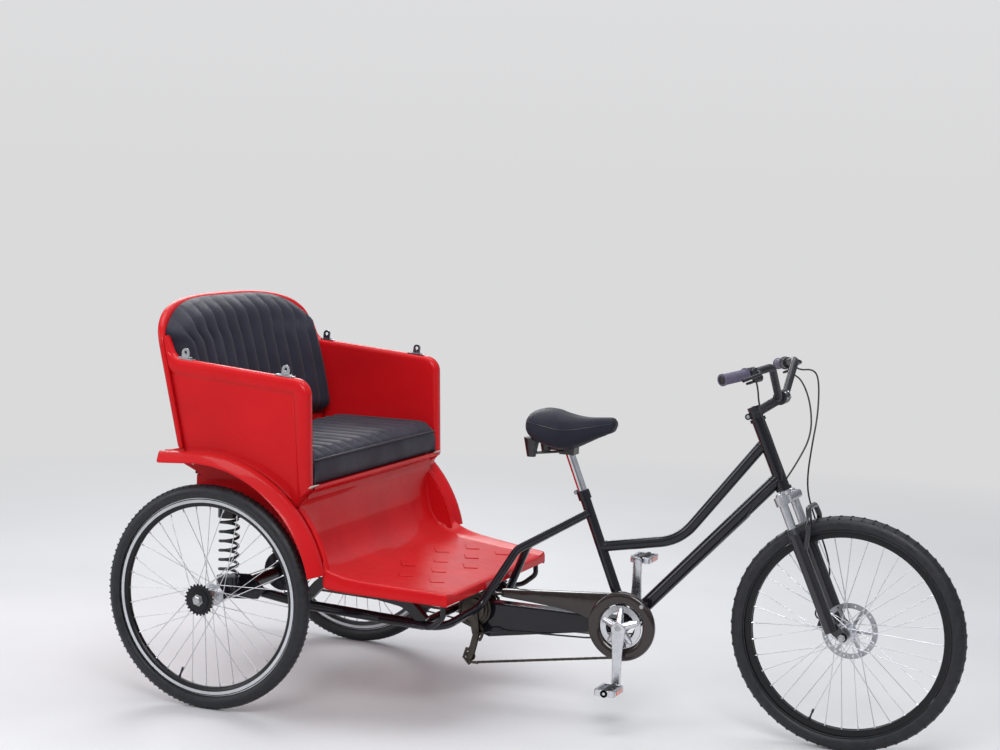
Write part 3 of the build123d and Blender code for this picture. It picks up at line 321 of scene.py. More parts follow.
def vinyl(name, colour):
    """Upholstery vinyl: a soft embossed grain, darker and duller in some patches and lighter and shinier in
    worn ones.
    """
    material, tree, shader, place = new_material(
        name, IOR=1.45, Specular_IOR_Level=0.14, Sheen_Weight=0.05, Sheen_Roughness=0.5)
    wear = remap(tree, noise(tree, place, 110, 4), 0.35, 0.7, 0.0, 1.0)
    tone = mixed(tree, wear, shade(colour, 0.85), shade(colour, 1.22))
    dust = remap(tree, upward(tree), 0.6, 1.0, 0.0, 0.03)
    surface(tree, shader, mixed(tree, dust, tone, linear("8A8784")), remap(tree, wear, 0, 1, 0.58, 0.44))
    crease = relief(tree, shader, noise(tree, place, 26, 3, 0.5, 0.6), 0.7)
    relief(tree, shader, cells(tree, place, 1.3), 0.07, crease)
    return material


def smoked_plastic():
    """Chain cover: thin brown-black moulded plastic with a glossy face and scuffs."""
    material, tree, shader, place = new_material("smoked_plastic", IOR=1.49, Coat_Weight=0.4)
    rub = remap(tree, noise(tree, stretched(tree, place, (1, 1, 6)), 30, 6, 0.7), 0.55, 0.75, 0.0, 0.5)
    surface(tree, shader, mixed(tree, rub, linear("271C1A"), linear("4A3A35")),
            remap(tree, rub, 0, 0.5, 0.16, 0.42))
    relief(tree, shader, noise(tree, place, 28, 2), 0.15)
    return material


materials = {}


def make_materials():
    """Make each finish once, by the record's slot or the piece it is for."""
    colours = bpy.context.scene.rickshaw_colours
    materials.update({
        "body_red": gel_coat(tuple(colours.gel_coat)),
        "cushion_vinyl": vinyl("bench_vinyl", tuple(colours.vinyl)),
        "saddle_vinyl": vinyl("saddle_vinyl", linear("24252F")),
        "piping": coated("piping_vinyl", "24252E", 0.35, 0.5, texture_mm=0.8),
        "frame_paint": enamel(tuple(colours.enamel)),
        "tyre_rubber": tyre_rubber(),
        "rim_alloy": metal("turned_alloy_band", "D4D6DA", 0.16, 0.26, grain_mm=1.2),
        "rim_black": coated("black_anodised_rim", "17171A", 0.28, 0.42, Metallic=0.4),
        "spoke_steel": metal("drawn_wire_and_cast_hub", "DADBDF", 0.24, 0.36),
        "rotor_steel": metal("ground_brake_steel", "AEB0B4", 0.25, 0.4, grain_mm=0.8),
        "fork_silver": metal("satin_cast_alloy", "C6C7CB", 0.26, 0.42, depth=0.03),
        "fork_black": coated("satin_fork_paint", "18171D", 0.18, 0.28, "201F26", Coat_Weight=0.5),
        "bar_black": coated("satin_bar_paint", "1A1A1F", 0.28, 0.42, "3A3A40"),
        "grip_rubber": coated("grip_rubber", "5A5468", 0.5, 0.7, "6E687C", 0.9, 0.2),
        "chrome": metal("chrome_plate", "D9DADD", 0.05, 0.12, grain_mm=6.0, stain="B7B8BC", depth=0.002),
        "crank_alloy": metal("polished_forging", "DCDDE1", 0.2, 0.32, (1, 1, 0.2), 1.5),
        "pedal_black": coated("pedal_moulding", "19191B", 0.5, 0.7, "45433F", 1.6, 0.12),
        "chain_steel": metal("oiled_chain_steel", "5A554F", 0.32, 0.5, grain_mm=3.0, stain="2E2A25",
                             depth=0.05),
        "guard_smoke": smoked_plastic(),
        "bracket_steel": metal("stainless_strip", "C2C4C8", 0.2, 0.34, (1, 0.1, 0.1), 0.8),
        "spring_steel": coated("painted_spring", "18181B", 0.3, 0.45, "4A443E", Coat_Weight=0.3),
        "caliper_grey": coated("anodised_caliper", "2A2A2E", 0.28, 0.4, Metallic=0.6),
        "cable_black": coated("cable_casing", "141416", 0.3, 0.42, "2C2C30", 3.0, 0.02),
        "bolt_steel": metal("zinc_bolt", "BDBEC0", 0.22, 0.4, grain_mm=1.5),
        "reflector": coated("orange_reflector", "D8571A", 0.1, 0.2, "F08030", 2.5, 0.3, Coat_Weight=1.0),
        # The sill line's pale colour is a painted highlight along the sill's corner.
        "sill_highlight_paint": coated("sill_filler", "B7AFA4", 0.5, 0.7, "8A6F66", 2.0, 0.2),
    })


# Mesh helpers: points are in millimetres, as station forward of the rear axle, across and height


class Form:
    """Points and faces of one piece, gathered before its mesh is made."""

    def __init__(self):
        self.points = []
        self.faces = []

    def add(self, points, faces):
        """Add points, and faces that count them from zero."""
        first = len(self.points)
        self.points += [Vector(point) for point in points]
        self.faces += [[first + corner for corner in face] for face in faces]

    def skin(self, rows, round_rows=False, round_columns=False, cap=False):
        """Join rows of points into a skin; round_rows closes each row, round_columns joins last to first."""
        count = len(rows)
        width = len(rows[0])
        faces = []
        for row in range(count if round_columns else count - 1):
            after = (row + 1) % count
            for column in range(width if round_rows else width - 1):
                beside = (column + 1) % width
                faces.append((row * width + column, row * width + beside,
                              after * width + beside, after * width + column))
        if cap:
            faces.append(list(range(width))[::-1])
            faces.append([(count - 1) * width + column for column in range(width)])
        self.add([point for row in rows for point in row], faces)

    def join(self, other):
        """Take in another form."""
        self.add(other.points, other.faces)

    def mirrored(self):
        """The same form on the other side."""
        other = Form()
        other.add([(point.x, -point.y, point.z) for point in self.points],
                  [face[::-1] for face in self.faces])
        return other


def to_world(point):
    """A point in metres, in the scene's own frame."""
    return Vector((REAR_AXLE.x + point[0] * MM, point[1] * MM, point[2] * MM))


def linked(name, data):
    """An object for a mesh or curve, in the scene."""
    piece = bpy.data.objects.new(name, data)
    bpy.context.scene.collection.objects.link(piece)
    return piece


def smoothed(mesh, angle):
    """Shade a mesh smooth up to an angle between its faces."""
    mesh.shade_smooth()
    mesh.set_sharp_from_angle(angle=radians(angle))


def plain_object(name, form, finish, angle):
    """A mesh object from a form, smooth-shaded up to an angle."""
    mesh = bpy.data.meshes.new(name)
    mesh.from_pydata([to_world(point) for point in form.points], [], form.faces)
    mesh.materials.append(materials[finish])
    mesh.validate()
    shell = bmesh.new()
    shell.from_mesh(mesh)
    bmesh.ops.recalc_face_normals(shell, faces=shell.faces)
    shell.to_mesh(mesh)
    shell.free()
    smoothed(mesh, angle)
    return linked(name, mesh)


def baked(piece):
    """Turn a piece's modifiers into plain mesh."""
    graph = bpy.context.evaluated_depsgraph_get()
    mesh = bpy.data.meshes.new_from_object(piece.evaluated_get(graph))
    piece.modifiers.clear()
    old = piece.data
    piece.data = mesh
    mesh.name = piece.name
    if old.users == 0:
        bpy.data.meshes.remove(old)
    return piece


def weighted(piece):
    """Let the large faces set the shading, so that rounded edges stay crisp and flats stay flat."""
    modifier = piece.modifiers.new("weighted", "WEIGHTED_NORMAL")
    modifier.keep_sharp = True
    modifier.weight = 80
    return baked(piece)


def fit(piece, body, slot, *nodes):
    """Set the finished piece on its body and hide the nodes that it stands for; the slot is not used."""
    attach(piece, body)
    if nodes:
        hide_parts(*nodes)


def dress(name, form, finish, angle, body, slot, *nodes):
    """Make a piece from a form and set it on its body."""
    fit(plain_object(name, form, finish, angle), body, slot, *nodes)


def rounded(corners, radii, steps=6, closed=False):
    """A polyline whose corners are turned into arcs."""
    line = []
    count = len(corners)
    for index in range(count):
        corner = Vector(corners[index])
        radius = radii[index] if isinstance(radii, (list, tuple)) else radii
        if radius <= 0 or (not closed and index in (0, count - 1)):
            line.append(corner)
            continue
        before = Vector(corners[index - 1]) - corner
        after = Vector(corners[(index + 1) % count]) - corner
        half = before.angle(after) / 2
        reach = min(radius / (sin(half) / cos(half)), before.length * 0.49, after.length * 0.49)
        real = reach * sin(half) / cos(half)
        middle = corner + (before.normalized() + after.normalized()).normalized() * (real / sin(half))
        start = corner + before.normalized() * reach - middle
        end = corner + after.normalized() * reach - middle
        turn = start.angle(end)
        for step in range(steps + 1):
            share = step / steps
            spot = (start * sin((1 - share) * turn) + end * sin(share * turn)) / sin(turn)
            line.append(middle + spot)
    return line


def tube(path, radius, sides=14):
    """A closed tube along points, of one radius or a radius for each point."""
    path = [Vector(point) for point in path]
    rows = []
    up = None
    for index, point in enumerate(path):
        before = path[max(index - 1, 0)]
        after = path[min(index + 1, len(path) - 1)]
        along = (after - before).normalized()
        if up is None:
            up = Vector((0, 1, 0)) if abs(along.y) < 0.9 else Vector((0, 0, 1))
        up = (up - along * up.dot(along)).normalized()
        side = along.cross(up)
        size = radius[index] if isinstance(radius, (list, tuple)) else radius
        rows.append([point + up * (size * rise) + side * (size * swing) for rise, swing in circle(sides)])
    form = Form()
    form.skin(rows, round_rows=True, cap=True)
    return form


def turned(profile, centre, side=1, count=96):
    """Turn a closed profile of radius and offset about the Y axis through a centre."""
    form = Form()
    form.skin([[Vector((centre[0] + radius * fore, centre[1] + side * offset, centre[2] + radius * rise))
                for radius, offset in profile] for fore, rise in circle(count)],
              round_rows=True, round_columns=True)
    return form


def bolt(centre, direction, radius, height, sides=6, washer=0):
    """A bolt head with a chamfered top and an optional washer."""
    along = Vector(direction).normalized()
    side = along.orthogonal().normalized()
    up = along.cross(side)
    rows = [(0, radius), (height * 0.75, radius), (height, radius * 0.82)]
    if washer:
        rows = [(0, washer), (height * 0.16, washer), (height * 0.16, radius)] + rows[1:]
    count = 24 if washer and sides > 6 else sides
    form = Form()
    form.skin([[Vector(centre) + along * lift + (side * fore + up * rise) * reach
                for fore, rise in circle(count)] for lift, reach in rows], round_rows=True, cap=True)
    return form


# Repeats, made by geometry nodes


def node_tree(name, sockets):
    """An empty geometry tree with named inputs after its geometry."""
    tree = bpy.data.node_groups.new(name, "GeometryNodeTree")
    tree.interface.new_socket("Geometry", in_out="INPUT", socket_type="NodeSocketGeometry")
    tree.interface.new_socket("Geometry", in_out="OUTPUT", socket_type="NodeSocketGeometry")
    for label, kind in sockets:
        tree.interface.new_socket(label, in_out="INPUT", socket_type=kind)
    entry = add(tree, "NodeGroupInput")
    return tree, entry.outputs


def finish_tree(tree, instances, material):
    """Realize the instances and give them their material."""
    real = add(tree, "GeometryNodeRealizeInstances", {"Geometry": instances})
    painted = add(tree, "GeometryNodeSetMaterial", {"Geometry": real.outputs[0], "Material": material})
    out = add(tree, "NodeGroupOutput")
    tree.links.new(painted.outputs[0], out.inputs[0])


def ring_tree():
    """Copies of an item round a wheel's axle, its X pointing outward."""
    tree, given = node_tree("ring_of_items", (
        ("Item", "NodeSocketObject"), ("Count", "NodeSocketInt"), ("Radius", "NodeSocketFloat"),
        ("Centre", "NodeSocketVector"), ("Material", "NodeSocketMaterial")))
    points = add(tree, "GeometryNodeMeshCircle", {"Vertices": given["Count"], "Radius": given["Radius"]})
    outward = add(tree, "GeometryNodeInputPosition")
    turn = add(tree, "FunctionNodeAlignRotationToVector", {"Vector": outward.outputs[0]}, axis="X")
    item = add(tree, "GeometryNodeObjectInfo", {"Object": given["Item"]})
    copies = add(tree, "GeometryNodeInstanceOnPoints", {
        "Points": points.outputs[0], "Instance": item.outputs["Geometry"], "Rotation": turn.outputs[0]})
    placed = add(tree, "GeometryNodeTransform", {
        "Geometry": copies.outputs[0], "Rotation": (pi / 2, 0, 0), "Translation": given["Centre"]})
    finish_tree(tree, placed.outputs[0], given["Material"])
    return tree


def path_tree():
    """Copies of an item along a line, its X pointing along the line and its Z across it."""
    tree, given = node_tree("items_along_a_line", (
        ("Item", "NodeSocketObject"), ("Count", "NodeSocketInt"), ("Material", "NodeSocketMaterial")))
    curve = add(tree, "GeometryNodeMeshToCurve", {"Mesh": given["Geometry"]})
    even = add(tree, "GeometryNodeResampleCurve", {"Curve": curve.outputs[0], "Count": given["Count"]})
    along = add(tree, "GeometryNodeInputTangent")
    turn = add(tree, "FunctionNodeAlignRotationToVector", {"Vector": along.outputs[0]}, axis="X",
               pivot_axis="Y")
    item = add(tree, "GeometryNodeObjectInfo", {"Object": given["Item"]})
    copies = add(tree, "GeometryNodeInstanceOnPoints", {
        "Points": even.outputs[0], "Instance": item.outputs["Geometry"], "Rotation": turn.outputs[0]})
    finish_tree(tree, copies.outputs[0], given["Material"])
    return tree


trees = {}


def local_mesh(name, form, finish):
    """A small mesh about its own origin, to be repeated by a tree."""
    mesh = bpy.data.meshes.new(name)
    mesh.from_pydata([point * MM for point in form.points], [], form.faces)
    mesh.materials.append(materials[finish])
    return linked(name, mesh)


def drop_item(item):
    """Delete the loose item after its repeats are made."""
    mesh = item.data
    bpy.data.objects.remove(item)
    bpy.data.meshes.remove(mesh)


def grown(base, kind, values):
    """Run a tree on a base object and keep the result as plain mesh."""
    if kind not in trees:
        trees[kind] = {"ring": ring_tree, "path": path_tree}[kind]()
    modifier = base.modifiers.new("repeat", "NODES")
    modifier.node_group = trees[kind]
    for socket in trees[kind].interface.items_tree:
        if socket.in_out == "INPUT" and socket.name in values:
            modifier[socket.identifier] = values[socket.name]
    base.update_tag()
    bpy.context.view_layer.update()
    return baked(base)


def repeated(piece, kind, form, finish, count, angle, **values):
    """Fill a piece with copies of a form, in their material, and smooth it."""
    item = local_mesh(f"{piece.name}_item", form, finish)
    grown(piece, kind, {"Item": item, "Count": count, "Material": materials[finish], **values})
    drop_item(item)
    smoothed(piece.data, angle)
    return piece


def ring_of(name, form, finish, count, radius, centre):
    """Items round an axle: the form is drawn as outward, round and across, about the pitch circle."""
    piece = plain_object(name, Form(), finish, 40)
    return repeated(piece, "ring", form, finish, count, 40, Radius=radius * MM, Centre=to_world(centre))


def row_of(name, points, form, finish, count, angle):
    """Items along a line, with the item's X along the line and its Y across the vehicle."""
    mesh = bpy.data.meshes.new(name)
    mesh.from_pydata([to_world(point) for point in points],
                     [(step, step + 1) for step in range(len(points) - 1)], [])
    return repeated(linked(name, mesh), "path", form, finish, count, angle)


def slab(low, high, chamfer=0.0):
    """A box from its two corners, with chamfered upper edges along X."""
    (x0, y0, z0), (x1, y1, z1) = low, high
    c = chamfer
    rows = [[(x0, y0, z0), (x0, y1, z0), (x0, y1, z1), (x0, y0, z1)],
            [(x1 - c, y0, z0), (x1 - c, y1, z0), (x1 - c, y1, z1), (x1 - c, y0, z1)]]
    if c:
        rows.append([(x1, y0 + c, z0 + c), (x1, y1 - c, z0 + c), (x1, y1 - c, z1 - c), (x1, y0 + c, z1 - c)])
    form = Form()
    form.skin(rows, round_rows=True, cap=True)
    return form


# Moulded body

# The backrest's rear face: its station 1000 mm up, its lean, its bow at the sides and its thickness
BACK_STATION = -234
BACK_LEAN = 0.24
BACK_BOW = 46
BACK_THICKNESS = 22
BACK_FOOT = 702
SIDE_OUTER = 470
PANEL_CORNERS = ((-184, 1078), (-150, 1016), (291.5, 979.6), (303.3, 676))
PANEL_OUTER_FOOT = ((303.3, 676), (303.2, 668), (301, 661.5), (293, 656.5), (284, 650), (276.5, 636))
PANEL_INNER_FOOT = ((266, 672), (268.5, 661), (270.4, 650), (271.6, 641), (272.2, 633), (272.4, 626))
# The fender's arc: its centre, its crown's radius, and where the side panel leaves it and sinks into it
FENDER_CENTRE = (-30, 340)
FENDER_CROWN = 412
SIDE_JOIN = 42.6
SIDE_SUNK = 7


def back_station(height, across=0.0):
    """Station of the backrest's rear face."""
    return BACK_STATION - BACK_LEAN * (height - 1000) + BACK_BOW * (across / SIDE_OUTER) ** 2


def inset_ring(outline, inset):
    """Move a closed outline inward."""
    count = len(outline)
    ring = []
    for index in range(count):
        here = Vector(outline[index])
        before = (here - Vector(outline[index - 1])).normalized()
        after = (Vector(outline[(index + 1) % count]) - here).normalized()
        normal = Vector((before.y + after.y, -before.x - after.x))
        if normal.length < 1e-6:
            normal = Vector((before.y, -before.x))
        normal.normalize()
        spread = max(0.5, normal.dot(Vector((before.y, -before.x))))
        ring.append(here + normal * (inset / spread))
    return ring


def panel_rear(height):
    """Station of the side panel's rear edge, against the backrest."""
    return back_station(height, SIDE_OUTER) + BACK_THICKNESS + 1


def crown_point(angle):
    """A point under the fender's crown line; the angle is in degrees above level, forward."""
    radius = FENDER_CROWN - SIDE_SUNK
    return (FENDER_CENTRE[0] + radius * cos(radians(angle)), FENDER_CENTRE[1] + radius * sin(radians(angle)))


def side_panel_ring(inset):
    """The panel's outline with its top and front edges moved in by an inset."""
    corners = [Vector(spot) for spot in PANEL_CORNERS]
    moved = []
    for index, corner in enumerate(corners):
        before = (corner - corners[index - 1]).normalized() if index else None
        after = (corners[index + 1] - corner).normalized() if index < 3 else before
        first = before or after
        sides = (Vector((first.y, -first.x)), Vector((after.y, -after.x)))
        moved.append(corner + (sides[0] + sides[1]) * (inset / (1 + sides[0].dot(sides[1]))))
    edge = rounded(moved, [0, 42 + inset, max(5, 50 - inset), 0], 8)[:-1]
    ring = [(max(spot.x, panel_rear(spot.y) + 0.02 * index), spot.y) for index, spot in enumerate(edge)]
    reach = min(1.0, inset / 46)
    for first, second in zip(PANEL_OUTER_FOOT, PANEL_INNER_FOOT):
        ring.append((first[0] + (second[0] - first[0]) * reach, first[1] + (second[1] - first[1]) * reach))
    ring += [crown_point(SIDE_JOIN + (90 - SIDE_JOIN) * step / 19) for step in range(20)]
    for step in range(5):
        height = crown_point(90)[1] + 44 * step
        ring.append((panel_rear(height), height))
    return ring


def build_side_panels():
    """Double-skinned side panels with a rounded band round the armrest and the front edge."""
    bead = bpy.context.scene.rickshaw_body.bead / MM
    profile = [
        (bead, -428), (15, -428), (7, -430.5), (2, -436), (0, -444), (0, -453), (2, -461.5), (7, -467),
        (14, -469.4), (22, -470), (bead - 14, -469.6), (bead - 7, -468), (bead - 2, -465), (bead + 2, -462.6),
        (bead + 7, -461.8)]
    form = Form()
    form.skin([[Vector((x, across, z)) for x, z in side_panel_ring(inset)] for inset, across in profile],
              round_rows=True, cap=True)
    for name, half in (("right", form), ("left", form.mirrored())):
        piece = plain_object(f"side_panel_{name}_moulding", half, "body_red", 42)
        fit(weighted(piece), "frame", "body_red", f"side_panel_{name}")


# The fender's section as radius and across: under the panel's foot, above it, and out over the wheel
FENDER_FOOT = (
    (398, -429), (398, -434), (398, -440), (398, -448), (398, -456), (397.5, -462), (398.6, -467.4),
    (403, -474), (408.6, -481), (412.2, -488.5))
FENDER_UPPER = (
    (398, -429), (398, -436), (398, -448), (424, -461.9), (414, -462.4), (406, -464.6), (401.2, -468.6),
    (402, -474.4), (407.4, -481), (411.8, -488.5))
FENDER_OUTER = (
    (413.2, -496), (412, -504.5), (408.6, -513), (403.4, -521), (397, -528.4), (391.6, -534.5),
    (387.6, -538.8), (385, -540.4), (383.2, -539), (383.6, -535.6), (389, -529), (396, -521),
    (401.8, -512), (405, -503), (406.4, -492), (402, -476), (398, -458), (404, -433.8))
FENDER_INNER = 398
FENDER_START = 13
FENDER_RISE = 41.5
SKIRT_RADIUS = 322
SKIRT_EXTRA = 30
TAIL_RUNS = (14, 28, 42, 56, 70, 84, 96, 108)
TAIL_LENGTH = 127
TAIL_DROP = 8
TAIL_SLANT = 20


def fender_spot(angle, reach, run, across):
    """A point of the fender, on its arc and then run back along the tail."""
    turn = radians(angle)
    return Vector((FENDER_CENTRE[0] + reach * cos(turn) - run, across,
                   FENDER_CENTRE[1] + reach * sin(turn) - run * TAIL_DROP / TAIL_LENGTH))


def tail_slant(across):
    """How much farther the tail reaches back beside the body than over the wheel."""
    return TAIL_SLANT * clamp((540 + across) / 50)


def build_fenders():
    """Arched fenders with a valley along their inner side, a rolled lip and a rounded tail."""
    angles = [FENDER_START + (90 - FENDER_START) * step / 54 for step in range(55)]
    rows = []
    for angle, run in [(angle, 0.0) for angle in angles] + [(90, run) for run in TAIL_RUNS]:
        blend = soft_step((angle - FENDER_RISE) / 9)
        fade = max(0.0, (run - 60) / 48)
        skirt = SKIRT_RADIUS - SKIRT_EXTRA * soft_step((78 - angle) / 16) + 76 * (run / TAIL_LENGTH) ** 1.3
        section = []
        for low, high in zip(FENDER_FOOT, FENDER_UPPER):
            reach = low[0] + (high[0] - low[0]) * blend
            section.append((min(reach, 424 - 12 * fade), low[1] + (high[1] - low[1]) * blend))
        section += list(FENDER_OUTER) + [(skirt, -433.6), (skirt, -428.6)]
        rows.append([fender_spot(angle, reach, run, across) - Vector((fade * tail_slant(across), 0, 0))
                     for reach, across in section])
    for step in range(1, 7):
        swing = pi / 2 * step / 6
        close = cos(swing) * 0.3 + 0.7
        run = 118 + 9 * sin(swing)
        row = []
        for reach, across in section:
            reach = FENDER_INNER + (reach - FENDER_INNER) * close
            across = across if across > -436 else -436 + (across + 436) * (0.88 + 0.12 * cos(swing))
            row.append(fender_spot(90, reach, run, across) - Vector((tail_slant(across), 0, 0)))
        rows.append(row)
    form = Form()
    form.skin(rows, round_rows=True, cap=True)
    face = len(FENDER_FOOT) + 9
    form.add(rows[-1][:face], [tuple(range(face))])
    for name, half in (("right", form), ("left", form.mirrored())):
        piece = plain_object(f"fender_{name}_moulding", half, "body_red", 55)
        fit(weighted(piece), "frame", "body_red", f"fender_{name}")


def arch_outline():
    """The backrest's outline seen from the front: upright sides under a full arch."""
    top = bpy.context.scene.rickshaw_body.arch_top / MM
    spring = 1026
    fullness = 2 / 3.1
    points = [(bulged(cos(pi * step / 60), fullness) * SIDE_OUTER,
               spring + bulged(sin(pi * step / 60), fullness) * (top - spring)) for step in range(61)]
    foot = BACK_FOOT + 51
    sides = [(-SIDE_OUTER, height) for height in (960, 890, 820, foot)]
    low = [(-427, foot)] + [(across, BACK_FOOT) for across in (-427, -215, 0, 215, 427)] + [(427, foot)]
    return points + sides + low + [(-x, z) for x, z in sides[::-1]]


def back_ring(ring, depth):
    """A ring of across and height laid on the bowed backrest, tucked forward at its foot."""
    return [Vector((back_station(z, y) + depth + 34 * max(0.0, (BACK_FOOT + 58 - z) / 58) ** 2, y, z))
            for y, z in ring]


def build_back_panel():
    """The bowed backrest shell with a full round rim."""
    outline = arch_outline()[::-1]
    rear, front = [], []
    for inset, depth in ((0, 11), (0.8, 6.5), (3.2, 3.0), (6.5, 0.8), (11, 0), (16, 0)):
        last = inset_ring(outline, inset)
        rear.append(back_ring(last, depth))
        front.append(back_ring(last, BACK_THICKNESS - depth))
    centre = Vector((0, 940))
    for share in (0.9, 0.75, 0.6, 0.45, 0.3, 0.15):
        ring = [centre + (point - centre) * share for point in last]
        rear.append(back_ring(ring, 0))
        front.append(back_ring(ring, BACK_THICKNESS))
    form = Form()
    form.skin(front[::-1] + rear[1:], round_rows=True, cap=True)
    dress("back_panel_moulding", form, "body_red", 50, "frame", "body_red", "back_panel")


def build_seat_ledge():
    """The strip that closes the body between the backrest's foot and the seat pan."""
    seat = back_station(674, 424) + 34
    sections = []
    for step in range(25):
        across = -426 + 852 * step / 24
        base = back_station(700, across) + 36
        line = [(base, 706), (base + 0.5, 690), (base + 2.5, 678), (base + 8, 671),
                (max(seat, base + 9), 670.6), (max(seat, base + 9), 674.6),
                (base + 10.5, 674.8), (base + 6.5, 679), (base + 4.6, 691), (base + 4, 706)]
        sections.append([Vector((station, across, height)) for station, height in line])
    form = Form()
    form.skin(sections, round_rows=True, cap=True)
    dress("seat_rear_ledge", form, "body_red", 50, "frame", "body_red")


def smooth_line(points, parts):
    """A line eased through its points, with even parts between them."""
    line = []
    last = len(points) - 1
    for index in range(last):
        first, second = Vector(points[index]), Vector(points[index + 1])
        before = Vector(points[max(index - 1, 0)])
        after = Vector(points[min(index + 2, last)])
        for step in range(parts):
            start, rise, end, fall = curve_weights(step / parts)
            line.append(first * start + (second - before) / 2 * rise + second * end
                        + (after - first) / 2 * fall)
    line.append(Vector(points[-1]))
    return line


# The tray in side view as station and height: the sill under the cushion, the wall's sweep and the floor
TRAY_SILL = ((303.3, 674), (303.3, 663.5), (283, 651), (272.5, 618))
TRAY_SWEEP = ((272.5, 618), (270, 576), (271.5, 534), (283, 487), (308, 447), (352, 420), (412, 409.5),
              (500, 402))
TRAY_FLOOR = ((590, 395.2), (690, 387.6), (706.5, 386))
TRAY_LIP = ((708.5, -2.5), (709, -6), (708.5, -25))
TRAY_WIDEST = (358, 468)
TRAY_TIP = (707, 385)
TRAY_JOIN_HEIGHT = 619
GRIP_MARKS = ((596, (-250, 0, 250)), (546, (-125, 125)), (496, (-250, 0, 250)), (446, (-125, 125)))


def tray_path():
    """The seat's front wall and the tray floor in side view, from the sill to the front lip."""
    lip = rounded(TRAY_SILL, [0, 3, 26, 0], 6)
    return lip[:-1] + smooth_line(TRAY_SWEEP, 7) + [Vector(spot) for spot in TRAY_FLOOR]


def tray_half(station):
    """Half the tray's width: full under the fenders, tapering to the front lip."""
    share = (station - TRAY_WIDEST[0]) / (TRAY_TIP[0] - TRAY_WIDEST[0])
    return TRAY_WIDEST[1] + (TRAY_TIP[1] - TRAY_WIDEST[1]) * share


def tray_section(station, height):
    """Points across the tray at one place on its path: skirt, rim, cheek and floor."""
    below = height < 600
    root = 427.4 if height > TRAY_JOIN_HEIGHT else 462
    wide = soft_step((station - 292) / 66) if below else 0.0
    half = root + (tray_half(max(station, TRAY_WIDEST[0])) - root) * wide
    floor = soft_step((station - 286) / 60) if below else 0.0
    rise = floor * (9 + 33 * 2.718 ** (-max(0.0, station - 338) / 52))
    cheek = 30 + 26 * floor
    rim = half - 10
    inner = rim - cheek
    section = [
        (half, -24 * floor), (half, rise - 6), (half - 1.6, rise - 2), (half - 5, rise),
        (rim, rise - 1.6), (rim - cheek * 0.22, rise * 0.62), (rim - cheek * 0.48, rise * 0.27),
        (rim - cheek * 0.74, rise * 0.07), (inner, 0.0), (inner * 0.75, 0.0), (inner * 0.5, 0.0),
        (inner * 0.25, 0.0), (0.0, 0.0)]
    drop = height + rise - FENDER_CENTRE[1]
    crown = FENDER_CENTRE[0] + max(0.0, (FENDER_CROWN - 6) ** 2 - drop ** 2) ** 0.5
    flare = max(0.0, crown - station) if height < TRAY_JOIN_HEIGHT else 0.0
    weights = (1, 1, 1, 1, 0.96, 0.62, 0.3, 0.09, 0, 0, 0, 0, 0)
    right = [Vector((station + flare * weight, -across, height + lift))
             for (across, lift), weight in zip(section, weights)]
    return right + [Vector((point.x, -point.y, point.z)) for point in right[:-1][::-1]]


def build_floor_tray():
    """Seat front wall flowing into the tapered foot tray, with raised rims and a turned-down skirt."""
    rows = [tray_section(station, height) for station, height in tray_path()]
    tip = rows[-1]
    floor_end = TRAY_FLOOR[-1][1]
    for station, drop in TRAY_LIP:
        rows.append([Vector((station, point.y, floor_end + drop)) for point in tip])
    for row in rows[-3:]:
        row[0].z = row[-1].z = floor_end + TRAY_LIP[-1][1]
    under = []
    for points in rows:
        back, down = (5, 1) if points[len(points) // 2].z > 430 else (1.2, 5)
        under.append([Vector((point.x - back, point.y * 0.989, point.z - down)) for point in points])
    under[-1] = [Vector((point.x - 4, point.y * 0.989, point.z)) for point in rows[-1]]
    form = Form()
    form.skin(rows)
    form.skin(under[::-1])
    form.skin([rows[-1], under[-1]])
    for column in (0, -1):
        form.skin([[row[column] for row in rows], [row[column] for row in under]])
    dress("floor_tray_moulding", form, "body_red", 50, "frame", "body_red", "floor_pan")
    marks = Form()
    for station, places in GRIP_MARKS:
        height = 402 - 0.0755 * (station - 500) + (2.6 if station < 490 else 0.9)
        for across in places:
            loop = [(station + 32, across + 27, height - 2.4), (station, across, height),
                    (station - 24, across + 46, height + 1.8)]
            marks.join(tube(rounded(loop, [0, 4, 0], 4), 1.5, 8))
    dress("tray_grip_marks", marks, "body_red", 50, "frame", "body_red")


# Upholstery


CHANNEL_PARTS = 8
CLOTH_FRAMES = 20


def puffed(piece, pinned, pressure, cap):
    """Blow up a sewn skin between its pinned seams, cap the swelling and keep it as plain mesh."""
    group = piece.vertex_groups.new(name="seams")
    group.add(pinned, 1.0, "REPLACE")
    rest = [vertex.co.copy() for vertex in piece.data.vertices]
    cloth = piece.modifiers.new("cloth", "CLOTH")
    for name, value in (("quality", 5), ("vertex_group_mass", "seams"), ("tension_stiffness", 6),
                        ("compression_stiffness", 6), ("shear_stiffness", 3), ("bending_stiffness", 0.4),
                        ("use_pressure", True), ("uniform_pressure_force", pressure)):
        setattr(cloth.settings, name, value)
    cloth.settings.effector_weights.gravity = 0
    cloth.collision_settings.use_collision = False
    scene = bpy.context.scene
    for step in range(1, CLOTH_FRAMES + 1):
        scene.frame_set(step)
    baked(piece)
    for vertex, before in zip(piece.data.vertices, rest):
        move = vertex.co - before
        if move.length > cap * MM:
            vertex.co = before + move.normalized() * (cap * MM)
    piece.vertex_groups.clear()
    scene.frame_set(1)


def channel_rise(column, puff):
    """Height of a padded channel, zero on its seams and full in its middle."""
    return abs(sin(pi * column / CHANNEL_PARTS)) ** 0.55 * puff


